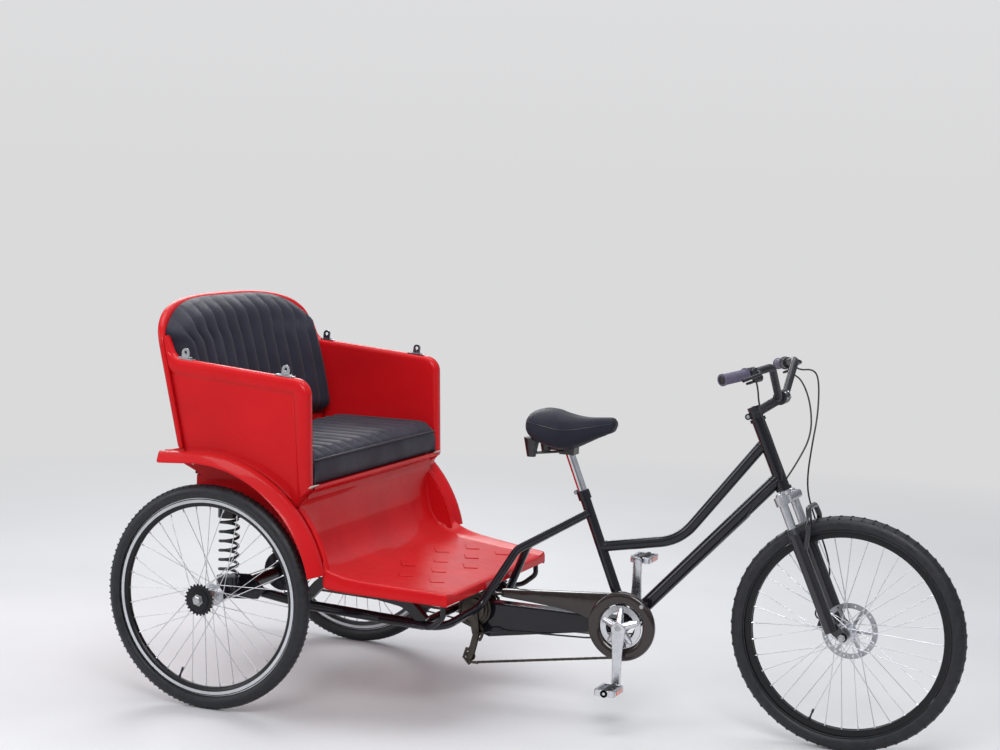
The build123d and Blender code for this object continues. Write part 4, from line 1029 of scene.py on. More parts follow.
def build_back_cushion():
    """Back cushion with upright channels, widening over the armrests under an arched top."""
    settings = bpy.context.scene.rickshaw_body
    puff = settings.puff / MM
    columns = settings.back_channels * CHANNEL_PARTS
    levels = 34
    foot, shoulder, top = 772, 1086, 1176.5
    rows = []
    for level in range(levels + 1):
        share = level / levels
        row = []
        for column in range(columns + 1):
            side = 2 * column / columns - 1
            height = foot + (top - (top - shoulder) * (abs(side) ** 4.2) - foot) * share
            spread = soft_step((height - 1052) / 40)
            across = side * (421 + 30 * spread)
            edge = min(1.0, min(share, 1 - share) * 7)
            edge_side = min(1.0, (1 - abs(side)) * (13 - 6 * clamp((height - 1052) / 40)))
            body = 34 + 22 * (sin(pi * min(1.0, share * 0.9 + 0.1)) ** 0.6)
            body *= 1 - 0.3 * clamp((height - 1052) / 40) * abs(side) ** 3
            round_off = (1 - (1 - edge) ** 2.2) * (1 - (1 - edge_side) ** 2.2)
            rise = channel_rise(column, puff) * min(1.0, edge * 1.6)
            depth = BACK_THICKNESS + 2 + max(0.6, (body + rise) * round_off)
            row.append(Vector((back_station(height, across) + depth, across, height)))
        rows.append(row)
    form = Form()
    form.skin([row[::-1] for row in rows])
    form.skin([[Vector((back_station(point.z, point.y) + BACK_THICKNESS + 0.6, point.y * 0.985, point.z))
                for point in row] for row in rows])
    width = columns + 1
    count = (levels + 1) * width

    def front(row, column):
        return row * width + columns - column

    def rear(row, column):
        return count + row * width + column

    loop = [(0, column) for column in range(width)] + [(row, columns) for row in range(1, levels + 1)]
    loop += [(levels, column) for column in range(columns - 1, -1, -1)]
    loop += [(row, 0) for row in range(levels - 1, 0, -1)]
    form.faces += [[front(*second), front(*first), rear(*first), rear(*second)]
                   for first, second in zip(loop, loop[1:] + loop[:1])]
    piece = plain_object("back_cushion_vinyl", form, "cushion_vinyl", 70)
    pinned = list(range(count, 2 * count)) + [front(*spot) for spot in loop]
    pinned += [front(row, column) for row in range(levels + 1) for column in range(0, width, CHANNEL_PARTS)]
    puffed(piece, pinned, 3.0, 7)
    fit(piece, "frame", "cushion_vinyl", "back_cushion")


def build_seat_cushion():
    """Seat cushion with front-to-back channels, a piped front edge and a plain front band."""
    settings = bpy.context.scene.rickshaw_body
    puff = settings.puff / MM
    columns = settings.seat_channels * CHANNEL_PARTS
    front, top, low = 297.6, 766, 675
    rear_edge = back_station(674, 424) + 25
    lines = [(rear_edge, low, 0.0), (rear_edge, top - 40, 0.0), (rear_edge + 6, top - 20, 0.2)]
    for share in (0, 0.015, 0.05, 0.12, 0.25, 0.4, 0.55, 0.7, 0.82, 0.9, 0.955, 0.985, 1.0):
        station = rear_edge + 26 + (front - 6 - rear_edge - 26) * share
        crown = -10 * (1 - min(1.0, share * 9)) ** 2 - 12 * max(0.0, (share - 0.86) / 0.14) ** 2.2
        lines.append((station, top + crown, 1.0 if 0.02 < share < 0.97 else 0.35))
    lines += [(front - 1, top - 18, 0.0), (front + 1.5, top - 30, 0.0), (front + 2.2, top - 48, 0.0),
              (front + 1, top - 68, 0.0), (front - 2, top - 84, 0.0), (front - 8, low, 0.0)]
    rows = []
    for station, height, lift in lines:
        row = []
        for column in range(columns + 1):
            side = 2 * column / columns - 1
            edge = (1 - abs(side)) * columns / 2
            fall = 0 if edge > 3 else (14, 7, 3, 1)[int(edge)]
            rise = channel_rise(column, puff) * lift if edge > 0.5 else 0
            across = side * (423.6 if height < top - 30 else 421.5)
            row.append(Vector((station, across, max(low, height - fall) + rise)))
        rows.append(row)
    form = Form()
    form.skin([row[::-1] for row in rows[::-1]])
    width = columns + 1
    total = len(rows)
    for side in (0, columns):
        edge = [row[side] for row in rows]
        strip = [edge, [Vector((point.x, point.y, low)) for point in edge]]
        form.skin(strip[::-1] if side else strip)
    form.skin([[Vector((station, across, low)) for across in (423, -423)]
               for station in (rear_edge, front - 8)])
    piece = plain_object("seat_cushion_vinyl", form, "cushion_vinyl", 60)
    pinned = list(range(total * width, len(form.points)))
    for row in range(total):
        for column in range(width):
            if column in (0, columns) or row < 3 or row > total - 3 or column % CHANNEL_PARTS == 0:
                pinned.append((total - 1 - row) * width + (columns - column))
    puffed(piece, pinned, 3.0, 7)
    fit(piece, "frame", "cushion_vinyl", "seat_cushion")
    half = [(front - 4, 419, top - 21), (front + 0.5, 412, top - 20), (front + 1.5, 200, top - 19)]
    pipe = tube([(x, -y, z) for x, y, z in half] + half[::-1], 3.2, 10)
    dress("seat_front_piping", pipe, "piping", 38, "frame", "cushion_vinyl")


# Wheels


# Names of the wheel's parts, its body and its centre; the centre's height is the wheel's radius
WHEELS = (
    ("rear_{}_right", "wheel_right", (0, -HALF_TRACK, REAR_RADIUS)),
    ("rear_{}_left", "wheel_left", (0, HALF_TRACK, REAR_RADIUS)),
    ("front_{}", "front_wheel", (WHEELBASE, 0, FRONT_RADIUS)),
)
WHEEL_PARTS = 120
RIM_OUTER = 291
BAND_INNER = 276.5
BEAD_ACROSS = 17.6
SPOKES = 36


def tyre_profile(radius, width):
    """An inflated tyre's outline as radius and offset, with beads inside the rim."""
    middle = radius - width + 1
    points = []
    for step in range(33):
        angle = radians(-128 + 256 * step / 32)
        reach = width * (1 - 0.02 * max(0.0, cos(angle)) ** 4)
        points.append((middle + reach * cos(angle), width * sin(angle)))
    return points


def front_tread():
    """One pitch of the front tread: slanted crown ribs and a low shoulder rib on each side."""
    form = Form()
    for side in (-1, 1):
        low, high = side * 1.0, side * 9.5
        rows = [[(-2, -5.5, low), (-2, 1.5, high), (-2, 5.0, high), (-2, -2.0, low)],
                [(1.1, -5.2, side * 1.3), (1.1, 1.5, side * 9.2), (0.9, 4.6, side * 9.2),
                 (1.1, -2.2, side * 1.3)]]
        form.skin([row[::side] for row in rows], round_rows=True, cap=True)
        low, high = sorted((side * 12.5, side * 18.5))
        form.join(slab((-7, 0, low), (-3.0, 5, high), 0.5))
    return form


def rear_tread():
    """One pitch of the rear tread: a slanted crown rib and a short rib on each shoulder."""
    form = Form()
    form.skin([[(-2, -2.2, -6), (-2, 3.2, 6), (-2, 6.6, 6), (-2, 1.2, -6)],
               [(0.9, -2.0, -6), (0.9, 3.4, 6), (0.9, 6.2, 6), (0.9, 0.8, -6)]], round_rows=True, cap=True)
    for side in (-1, 1):
        low, high = sorted((side * 8.5, side * 15))
        form.join(slab((-6, 0, low), (-0.9, 4.2, high), 0.5))
    return form


def build_tyres():
    """Tyre carcasses with ribs at the rim, and moulded tread."""
    settings = bpy.context.scene.rickshaw_wheels
    for pattern, body, centre in WHEELS:
        node = pattern.format("tyre")
        front = node.startswith("front")
        radius = centre[2] - 1.1
        form = turned(tyre_profile(radius, 23.6 if front else 22.6)[::-1], centre, count=WHEEL_PARTS)
        for across in (-BEAD_ACROSS, BEAD_ACROSS):
            bead = [(RIM_OUTER + 2.5 + 1.8 * rise, across + 1.6 * swing) for rise, swing in circle(6)]
            line = [(RIM_OUTER + 14 + 0.9 * rise, across * 1.275 + 0.7 * swing) for rise, swing in circle(4)]
            form.join(turned(bead, centre, count=WHEEL_PARTS))
            form.join(turned(line, centre, count=WHEEL_PARTS))
        dress(f"{node}_carcass", form, "tyre_rubber", 60, body, "tyre_rubber", node)
        if front:
            tread = ring_of(f"{node}_tread", front_tread(), "tyre_rubber", settings.tread_blocks, radius,
                            centre)
        else:
            tread = ring_of(f"{node}_tread", rear_tread(), "tyre_rubber", settings.rear_ribs, radius + 0.1,
                            centre)
        fit(tread, body, "tyre_rubber")


def build_rims():
    """Double-walled rims: turned braking band outside, dark inner box, nipples and a valve."""
    for pattern, body, centre in WHEELS:
        node = pattern.format("rim")
        front = node.startswith("front")
        inner = RIM_OUTER - (17 if front else 26)
        side = [(RIM_OUTER + 1.2, -10.6), (RIM_OUTER + 1.8, -11.6), (RIM_OUTER + 1.0, -12.6),
                (RIM_OUTER - 1.5, -12.8), (BAND_INNER + 1, -12.6), (RIM_OUTER - 13, -9.8),
                (RIM_OUTER - 4, -9.8)]
        bands = Form()
        for sense in (-1, 1):
            bands.join(turned([(reach, across * sense) for reach, across in side], centre, count=WHEEL_PARTS))
        half = [(BAND_INNER + 1, 12.4), (BAND_INNER - 3, 11.6), (inner + 4, 9.0), (inner + 0.8, 6.0),
                (inner, 2.5)]
        box = turned([(reach, -across) for reach, across in half] + half[::-1], centre, count=WHEEL_PARTS)
        for across in (-12.9, 12.9):
            box.join(turned([(286.4, across - 0.25), (289, across - 0.25), (289, across + 0.25),
                             (286.4, across + 0.25)], centre, count=WHEEL_PARTS))
        finish = "rim_black" if front else "rim_alloy"
        dress(f"{node}_bands", bands, finish, 35, body, finish, node)
        dress(f"{node}_box", box, "rim_black", 35, body, "rim_black")
        nipple = turned_x([(1, 2.6), (0, 2.6), (-1.2, 2.0), (-9, 1.9), (-9.6, 1.3)], 8)
        fit(ring_of(f"{node}_nipples", nipple, "spoke_steel", SPOKES, inner, centre), body, "spoke_steel")
        aim = Vector((cos(radians(250)), 0, sin(radians(250))))
        root = Vector(centre) + aim * (inner + 2)
        valve = tube([root - aim * reach for reach in (0, 8, 8.2, 24, 24.2, 34)],
                     [4.4, 4.2, 2.7, 2.7, 3.6, 3.4], 10)
        dress(f"{node}_valve", valve, "piping", 40, body, "spoke_steel")


def turned_x(profile, sides):
    """A small form turned about its X axis, from distance and radius pairs."""
    form = Form()
    form.skin([[(reach, radius * across, radius * rise) for across, rise in circle(sides)]
               for reach, radius in profile], round_rows=True, cap=True)
    return form


def gear(centre, radius, teeth, depth, across, thickness, bore):
    """A toothed disc with chamfered faces, turned about Y."""
    outline = []
    for tooth in range(teeth):
        for share, lift in ((0.0, 0), (0.22, 0), (0.36, depth), (0.64, depth), (0.78, 0)):
            angle = 2 * pi * (tooth + share) / teeth
            outline.append((cos(angle), sin(angle), radius - depth + lift))
    low, high = across - thickness / 2, across + thickness / 2
    rings = [[Vector((centre[0] + bore * fore, low, centre[2] + bore * rise))
              for fore, rise, reach in outline]]
    for level, shrink in ((low, 0.6), (low + 0.5, 0), (high - 0.5, 0), (high, 0.6)):
        rings.append([
            Vector((centre[0] + (reach - shrink) * fore, level, centre[2] + (reach - shrink) * rise))
            for fore, rise, reach in outline])
    rings.append([Vector((point.x, high, point.z)) for point in rings[0]])
    form = Form()
    form.skin(rings, round_rows=True, round_columns=True)
    return form


def build_hubs():
    """Spoke elbows, and the rear hubs' toothed locking discs, dust caps and axle nuts."""
    for pattern, body, centre in WHEELS:
        node = pattern.format("hub")
        front = node.startswith("front")
        flange, half = (24, 28) if front else (32, 30)
        elbows = Form()
        for side in (-1, 1):
            elbows.join(slab((-3.2, -1.6, side * half - 3.4), (0.4, 1.6, side * half + 3.4), 0.6))
        piece = ring_of(f"{node}_spoke_heads", elbows, "spoke_steel", SPOKES // 2, flange - 1.5, centre)
        fit(piece, body, "spoke_steel")
        if front:
            continue
        side = -1 if centre[1] < 0 else 1
        disc = gear(centre, 47, 24, 5, centre[1] + side * 50, 5, 13.5)
        barrel = [(13.5, 31.6), (25, 31.6), (26, 33), (26, 46), (25, 47.5), (13.5, 47.5)]
        dust_cap = [(13.5, 52.5), (30, 52.5), (32, 53.5), (31, 55.5), (20, 57), (13.5, 57)]
        for profile in (barrel, dust_cap):
            disc.join(turned(profile, centre, side, 40))
        dress(f"{node}_locking_disc", disc, "rim_black", 35, body, "spoke_steel")
        nut = bolt((centre[0], centre[1] + side * 57.6, centre[2]), (0, side, 0), 13.6, 11.6, 6, 17.5)
        dress(f"{node}_axle_nut", nut, "bolt_steel", 35, "frame", "frame_paint")


# Saddle, bar and brakes


def eased(table, station):
    """A smooth value between the rows of a table, by station."""
    last = len(table) - 1
    index = 0
    while index < last - 1 and station > table[index + 1][0]:
        index += 1
    low, high = table[index], table[index + 1]
    before = table[max(index - 1, 0)]
    after = table[min(index + 2, last)]
    span = high[0] - low[0]
    start, rise, end, fall = curve_weights(clamp((station - low[0]) / span))
    return [start * low[place] + rise * (high[place] - before[place]) / (high[0] - before[0]) * span
            + end * high[place] + fall * (after[place] - low[place]) / (after[0] - low[0]) * span
            for place in range(1, len(low))]


SADDLE = (
    # Station, half width, bottom, top
    (794, 66, 836, 880), (812, 88, 822, 893), (840, 102, 806, 900), (872, 100, 795, 898),
    (906, 86, 788, 890), (940, 62, 795, 884.5), (976, 42, 812, 883.5), (1012, 30, 829, 886),
    (1042, 26, 840, 888), (1062, 22, 848, 886))
SADDLE_REAR = 795.5
SADDLE_NOSE = 1061
SADDLE_STEPS = 40
SADDLE_SIDES = 36


def saddle_row(step):
    """Points round the saddle at one step from its rear to its nose, from the right edge over the top."""
    share = step / SADDLE_STEPS
    station = SADDLE_REAR + (SADDLE_NOSE - SADDLE_REAR) * share
    half, low, high = eased(SADDLE, station)
    end = min(1.0, share * 9, (1 - share) * 22)
    close = sqrt(max(0.02, 1 - (1 - end) ** 2))
    half *= 0.6 + 0.4 * close
    tall = (high - low) * (0.35 + 0.65 * close)
    base = (high + low) / 2 + (high - low) * 0.1 - tall * 0.6
    groove = 2.6 * sin(pi * clamp((share - 0.12) / 0.8))
    row = []
    for rise_across, rise in circle(SADDLE_SIDES):
        wide = bulged(rise_across, 0.72)
        across = half * wide
        height = base + tall * (0.32 + abs(rise) ** 0.8 * (0.68 if rise >= 0 else -0.32))
        if 2 < step < SADDLE_STEPS - 4 and rise < 0:
            height -= 5 * abs(rise) * sin(pi * share) * (1 - abs(wide)) ** 0.5
        if rise > 0:
            height -= groove * max(0.0, 1 - abs(across) / 13) ** 1.5
        row.append(Vector((station, across, height)))
    return row


def build_saddle():
    """Wide sprung saddle: moulded foam under vinyl, with a shallow channel, a skirt and piped seams."""
    rows = [saddle_row(step) for step in range(SADDLE_STEPS + 1)]
    form = Form()
    form.skin(rows, round_rows=True, cap=True)
    piece = plain_object("saddle_cover", form, "saddle_vinyl", 70)
    pinned = [row * SADDLE_SIDES + column for row in range(SADDLE_STEPS + 1) for column in range(SADDLE_SIDES)
              if row in (0, SADDLE_STEPS) or column == 0 or column >= SADDLE_SIDES // 2]
    puffed(piece, pinned, 2.0, 2)
    fit(piece, "frame", "saddle_vinyl", "saddle")
    seam = Form()
    for side, column in ((-1, 16), (1, 2)):
        seam.join(tube([row[column] + Vector((0, side * 0.6, 0)) for row in rows[2:-2]], 1.3, 6))
    dress("saddle_seam_piping", seam, "piping", 38, "frame", "saddle_vinyl")


# The grip's ends, fore, across and up in the steering frame
GRIP_INNER = (88, 190, 773)
GRIP_OUTER = (33, 300, 782)
GRIP_LENGTH = 92
GRIP_RADIUS = 14.6


def bar_end(side):
    """Outer end of the bar on one side, and its direction outward."""
    inner, outer = [steered(fore, side * across, up) for fore, across, up in (GRIP_INNER, GRIP_OUTER)]
    return outer, (outer - inner).normalized()


def build_grips():
    """Ribbed rubber grips with a dark end plug."""
    rubber = Form()
    plugs = Form()
    for side in (-1, 1):
        outer, along = bar_end(side)
        path, sizes = [], []
        for step in range(73):
            reach = -GRIP_LENGTH + (GRIP_LENGTH + 2) * step / 72
            wave = 0.9 * abs(sin(pi * reach / 5.2)) ** 0.6 if 2 <= step <= 68 else 0
            flange = 4.5 if step < 2 else (2.5 if step > 68 else 0)
            path.append(outer + along * reach)
            sizes.append(GRIP_RADIUS + wave + flange)
        rubber.join(tube(path, sizes, 26))
        plugs.join(tube([outer + along * reach for reach in (1.5, 3.4, 4.0)], [11.5, 11.5, 9], 20))
    dress("grips_ribbed", rubber, "grip_rubber", 50, "steering", "grip_rubber", "grips")
    dress("grip_plugs", plugs, "bar_black", 40, "steering", "grip_rubber")


def build_bar_details():
    """Shifter pods with thumb levers, lever hinges, and the stem's bolts."""
    pods = Form()
    screws = Form()
    for side in (-1, 1):
        outer, along = bar_end(side)
        middle = outer - along * (GRIP_LENGTH + 30)
        pods.join(tube([middle + along * reach for reach in (-9, -8, 8, 9)], [15.5, 16.5, 16.5, 15.5], 24))
        pod = middle - AXIS_UP * 17 + AXIS_FORE * 8
        pods.join(tube([pod + along * reach for reach in (-13, -10, 10, 13)], [8, 12, 12, 8], 20))
        thumb = pod - AXIS_FORE * 8 - AXIS_UP * 6
        pods.join(tube([pod, thumb, thumb - AXIS_FORE * 12 + along * 6, thumb - AXIS_FORE * 18 + along * 14],
                       [4, 3.6, 4.2, 3.4], 10))
        hinge = outer - along * (GRIP_LENGTH + 5) + AXIS_FORE * 28
        for aim in (AXIS_UP, -AXIS_UP):
            screws.join(bolt(hinge + aim * 7.6, aim, 4.2, 2.4, 6, 6))
    clamp_face = steered(88, 0, 684) + AXIS_FORE * 18.4
    for across in (-16, 16):
        for lift in (-7.8, 7.8):
            screws.join(bolt(clamp_face + AXIS_UP * lift + Vector((0, across, 0)), AXIS_FORE, 3.4, 3, 6, 4.8))
    screws.join(bolt(steered(0, 0, 687), AXIS_UP, 5, 3, 6, 12))
    for across in (-16, 16):
        screws.join(bolt(steered(-20, across, 665), (0, across, 0), 4, 3, 6, 5.5))
    dress("shifter_pods", pods, "bar_black", 40, "steering", "bar_black")
    dress("bar_screws", screws, "bolt_steel", 35, "steering", "bar_black")


# Routes of the cables' solids, fore, across and up in the steering frame, and their real lengths in metres
BRAKE_HOSE = (
    (94, 209, 766.2), (104, 208, 742), (152, 198, 730), (160, 184, 695), (134, 132, 603), (96, 100, 530),
    (46, 90, 438), (30, 88, 370), (28, 87, 190), (-8, 90, 130), (-44, 80, 96), (-64, 50, 70),
    (-48.6, 46, 55.9))
SHIFT_CABLE = (
    (88, 186, 761.2), (92, 180, 738), (130, 116, 712), (137, 88, 640), (118, 48, 556), (60, 8, 496),
    (25, -27, 466))
BRAKE_CABLE = (
    (94, -209, 766.2), (92, -200, 738), (58, -150, 680), (46, -96, 590), (24, -38, 480), (12, -34, 466))
CABLES = (
    ("brake_hose_run", "front_brake_hose", BRAKE_HOSE, 0.832),
    ("shift_cable_run", "steering_cables", SHIFT_CABLE, 0.414),
    ("brake_cable_run", "steering_cables", BRAKE_CABLE, 0.360))
CABLE_DIAMETER = 0.005


def build_cables():
    """Brake hose and casings that hang from the levers, each a smooth spline along its route."""
    for name, node, route, length in CABLES:
        line = bpy.data.curves.new(name, "CURVE")
        line.dimensions = "3D"
        line.bevel_depth = CABLE_DIAMETER / 2
        line.bevel_resolution = 3
        line.resolution_u = 10
        line.use_fill_caps = True
        spline = line.splines.new("NURBS")
        spline.points.add(len(route) - 1)
        for knot, point in zip(spline.points, route):
            knot.co = (*to_world(steered(*point)), 1)
        spline.order_u = 3
        spline.use_endpoint_u = True
        line.materials.append(materials["cable_black"])
        piece = linked(name, line)
        fit(piece, "steering", "cable_black", node)


LEG_ACROSS = 62


def build_fork_details():
    """Dust seals, adjuster caps, axle nuts and the rotor's screws."""
    seals = Form()
    caps = Form()
    for side in (-1, 1):
        across = side * LEG_ACROSS
        for low, size in ((312, 17.2), (318, 16.4), (324, 15.2)):
            seals.join(tube([steered(0, across, low), steered(0, across, low + 5.5)], [size, size - 0.8], 26))
        caps.join(tube([steered(0, across, up) for up in (427, 431, 433)], [11.5, 11.5, 9.5], 22))
        caps.join(bolt(steered(FORK_OFFSET, side * (LEG_ACROSS + 4), 0), (0, side, 0), 8, 7, 6, 11))
    for turn in range(6):
        angle = radians(turn * 60 + 30)
        spot = Vector((WHEELBASE + 15.5 * cos(angle), 38, FRONT_RADIUS + 15.5 * sin(angle)))
        caps.join(bolt(spot, (0, 1, 0), 2.6, 2, 6))
    dress("fork_dust_seals", seals, "piping", 40, "steering", "fork_black")
    dress("fork_caps_and_nuts", caps, "bolt_steel", 35, "steering", "fork_silver")


# Drive


HUB = Vector((CRANK_STATION, 0, CRANK_HEIGHT))
CRANK_LENGTH = 170
ARM_ACROSS = 78
ARM_THICK = 6.2
ARM_WIDE = (22, 13)
PITCH = 12.7
CHAINRING_RADIUS = 86
CHAIN_ACROSS = -52
REAR_CHAIN_ACROSS = 46
JACK = (655, 285)
COGS = ((50, -45), (42, -52), (34, -59))
FRONT_SPROCKET = 34
REAR_SPROCKET = 60
PULLEYS = ((666, 218), (648, 142))
PULLEY_RADIUS = 15
CHAIN_LIFT = 4.8


def crank_arm(side):
    """A forged arm, rounded along its edges, from the spindle's boss to the pedal's eye."""
    boss, eye = ARM_WIDE
    sections = []
    for step in range(5):
        reach = -18 * cos(pi / 2 * step / 4)
        sections.append((reach, boss * sqrt(max(0.03, 1 - (reach / 18) ** 2)), ARM_THICK))
    for step in range(1, 16):
        share = step / 16
        waist = sin(pi * share)
        sections.append((CRANK_LENGTH * share, boss + (eye - boss) * share - 2.4 * waist,
                         ARM_THICK - 0.9 * waist))
    for step in range(5):
        turn = pi / 2 * step / 4
        sections.append((CRANK_LENGTH + 12 * sin(turn), eye * max(0.17, cos(turn)), ARM_THICK))
    form = Form()
    form.skin([[HUB + Vector((bulged(x, 0.45) * wide, side * ARM_ACROSS + bulged(y, 0.45) * thick,
                              side * reach))
                for x, y in circle(20)] for reach, wide, thick in sections], round_rows=True, cap=True)
    return form


def build_crank():
    """Crank arms and spindle, a spider with chainring, bolts and washers."""
    arms = Form()
    bolts = Form()
    for side in (-1, 1):
        arms.join(crank_arm(side))
        eye = HUB + Vector((0, side * ARM_ACROSS, side * CRANK_LENGTH))
        arms.join(tube([eye, eye + Vector((0, side * 108, 0))], 4.4, 16))
        arms.join(tube([eye + Vector((0, side * 6, 0)), eye + Vector((0, side * 15, 0))], 7.5, 6))
        bolts.join(bolt(HUB + Vector((0, side * 84, 0)), (0, side, 0), 7, 3, 6, 10.5))
    arms.join(tube([HUB + Vector((0, across, 0)) for across in (-82, 82)], 8, 22))
    for index in range(5):
        angle = radians(72 * index + 18)
        spots = [HUB + Vector((reach * cos(angle), across, reach * sin(angle)))
                 for reach, across in ((12, -70), (34, -62), (54, -57.5), (57, -60.5))]
        arms.join(tube(spots[:3], [13, 11, 8], 12))
        bolts.join(bolt(spots[3], (0, -1, 0), 3.6, 2.2, 12, 4.8))
    ring = [(45, -61), (62, -58.6), (63, -57.2), (62, -55.6), (45, -57.4), (44, -59)]
    arms.join(turned(ring, HUB, count=64))
    dress("crank_arms", arms, "crank_alloy", 40, "crank", "crank_alloy", "crankset")
    ring = gear(HUB, CHAINRING_RADIUS - 1.4, 42, 4.4, CHAIN_ACROSS, 2.6, 72)
    dress("chainring_toothed", ring, "chain_steel", 35, "crank", "crank_alloy")
    dress("crank_bolts", bolts, "bolt_steel", 35, "crank", "crank_alloy")


def build_pedals():
    """Cage pedals: ribbed frame, barrel, end caps, pins and orange reflectors front and rear."""
    outer = rounded([(-31.6, -44.5), (31.6, -44.5), (31.6, 44.5), (-31.6, 44.5)], 9, 5, closed=True)
    inner = rounded([(-23, -35), (23, -35), (23, 35), (-23, 35)], 4, 5, closed=True)
    for name, side in (("right", -1), ("left", 1)):
        centre = HUB + Vector((0, side * 140.5, side * CRANK_LENGTH))
        ends = [centre + Vector((0, across, 0)) for across in (-45, 45)]
        cage = Form()
        cage.skin([[centre + Vector((x * shrink, y * shrink, height)) for x, y in outline]
                   for outline, height, shrink in ((inner, 8.5, 1), (inner, -8.5, 1), (outer, -9.2, 0.965),
                                                   (outer, -7.2, 1), (outer, 7.2, 1), (outer, 9.2, 0.965))],
                  round_rows=True, round_columns=True)
        cage.join(tube(ends, 10.4, 20))
        lens = Form()
        for reach in (-1, 1):
            low, high = sorted((reach * 8, reach * 24))
            for across in (-24, 0, 24):
                cage.join(slab(centre + Vector((low, across - 2, -6)),
                               centre + Vector((high, across + 2, 6))))
            for across in range(-36, 37, 9):
                for lift in (-1, 1):
                    pin = centre + Vector((reach * 28.5, across, 0))
                    cage.join(tube([pin + Vector((0, 0, lift * height)) for height in (8, 9.9)],
                                   [2.2, 1.4], 6))
            low, high = sorted((reach * 31.9, reach * 32.8))
            lens.join(slab(centre + Vector((low, -25, -6.2)), centre + Vector((high, 25, 6.2))))
        body = f"pedal_{name}"
        dress(f"{body}_barrel", tube(ends, 11.2, 20), "pedal_black", 35, body, "pedal_black")
        dress(f"{body}_body", cage, "crank_alloy", 35, body, "pedal_black", body)
        dress(f"{body}_reflectors", lens, "reflector", 35, body, "pedal_black")


def belt_line(circles, across):
    """Even points on a closed belt round circles of station, height, radius and sense, and its links."""
    tangents = []
    count = len(circles)
    for index in range(count):
        x1, z1, r1, s1 = circles[index]
        x2, z2, r2, s2 = circles[(index + 1) % count]
        run = Vector((x2 - x1, z2 - z1))
        lean = (s2 * r2 - s1 * r1) / run.length
        along = run.normalized()
        normal = along * lean + Vector((-along.y, along.x)) * sqrt(1 - lean * lean)
        tangents.append((Vector((x1, z1)) - normal * s1 * r1, Vector((x2, z2)) - normal * s2 * r2))
    line = []
    for index in range(count):
        leave, arrive = tangents[index]
        onward = circles[(index + 1) % count]
        centre, sense = Vector(onward[:2]), onward[3]
        line += [leave, arrive]
        first, last = arrive - centre, tangents[(index + 1) % count][0] - centre
        turn = first.angle(last)
        if (first.x * last.y - first.y * last.x) * sense < 0:
            turn = 2 * pi - turn
        parts = max(2, int(turn / 0.12))
        for step in range(1, parts):
            swing = sense * turn * step / parts
            line.append(centre + Vector((first.x * cos(swing) - first.y * sin(swing),
                                         first.x * sin(swing) + first.y * cos(swing))))
    line.append(tangents[0][0])
    length = sum((line[step + 1] - line[step]).length for step in range(len(line) - 1))
    return [Vector((point.x, across, point.y)) for point in line], round(length / (2 * PITCH))


def link_pair():
    """Two pitches of a roller chain: inner plates, outer plates and rollers."""
    form = Form()
    for start, reach in ((-PITCH / 2, 2.0), (PITCH / 2, 3.3)):
        for side in (-1, 1):
            rows = []
            for level in sorted((side * reach, side * (reach + 1))):
                rows.append([(start + PITCH / 2 * (1 if along > 0 else -1) + 3.9 * along, level,
                              3.9 * rise * (1.0 if abs(along) > 0.3 else 0.72))
                             for along, rise in circle(12)])
            form.skin(rows, round_rows=True, cap=True)
    for start in (0, PITCH):
        form.skin([[(start + 3.1 * along, level, 3.1 * rise) for along, rise in circle(8)]
                   for level in (-2.2, 2.2)], round_rows=True)
    return form


def build_chains():
    """Roller chains, the front one through the derailleur's cage, and the toothed cogs and pulleys."""
    guide, tension = [(*place, PULLEY_RADIUS + CHAIN_LIFT) for place in PULLEYS]
    front = [(HUB.x, HUB.z, CHAINRING_RADIUS + CHAIN_LIFT, 1), (*JACK, COGS[1][0] + CHAIN_LIFT, 1),
             (*guide, -1), (*tension, 1)]
    rear = [(*JACK, FRONT_SPROCKET + CHAIN_LIFT, 1), (0, REAR_RADIUS, REAR_SPROCKET + CHAIN_LIFT, 1)]
    for name, circles, across in (("front_chain", front, CHAIN_ACROSS),
                                  ("rear_chain", rear, REAR_CHAIN_ACROSS)):
        line, pairs = belt_line(circles, across)
        piece = row_of(f"{name}_links", line, link_pair(), "chain_steel", pairs + 1, 35)
        fit(piece, "frame", "chain_steel", name)
    cogs = Form()
    jack = (JACK[0], 0, JACK[1])
    for radius, across in COGS:
        cogs.join(gear(jack, radius - 0.3, max(14, round(radius * 0.52)), 3.6, across, 2.2, 17))
    cogs.join(gear(jack, FRONT_SPROCKET - 0.3, 17, 3.6, REAR_CHAIN_ACROSS, 2.6, 14))
    cogs.join(gear((0, 0, REAR_RADIUS), REAR_SPROCKET - 0.3, 30, 3.6, REAR_CHAIN_ACROSS, 2.6, 40))
    for station, height in PULLEYS:
        cogs.join(gear((station, 0, height), PULLEY_RADIUS - 0.3, 11, 2.6, CHAIN_ACROSS, 3, 4))
    dress("drive_cogs", cogs, "chain_steel", 35, "frame", "chain_steel")


# The cover's ring as radius and offset, and its tail as station, low, high, lean of its upper edge and face
GUARD_RING = (
    (97.4, -40), (98.4, -50), (98, -55.5), (95, -59.4), (86, -60.6), (76, -59.8), (69, -56.4), (66.6, -50),
    (65, -50), (65.6, -55), (68, -58.8), (75, -62), (86, -62.8), (96, -61.8), (100.6, -58.6), (102.4, -53),
    (102.2, -46), (99.8, -40))
GUARD_TAIL = (
    (744, 337, 354, 0, -61), (746, 334, 357, 0, -62.4), (752, 333, 358, 0, -62.4),
    (800, 330, 361, 0, -62.4), (860, 326, 365, 0, -62.4), (920, 321, 369.5, 0, -62.4),
    (960, 316, 372.5, 2, -62.4), (990, 309, 375, 6, -62), (1012, 302, 377, 12, -61),
    (1034, 295, 379, 20, -59), (1050, 289, 380.5, 30, -56.5), (1057, 285, 381, 41, -54))
GUARD_BACK = -40
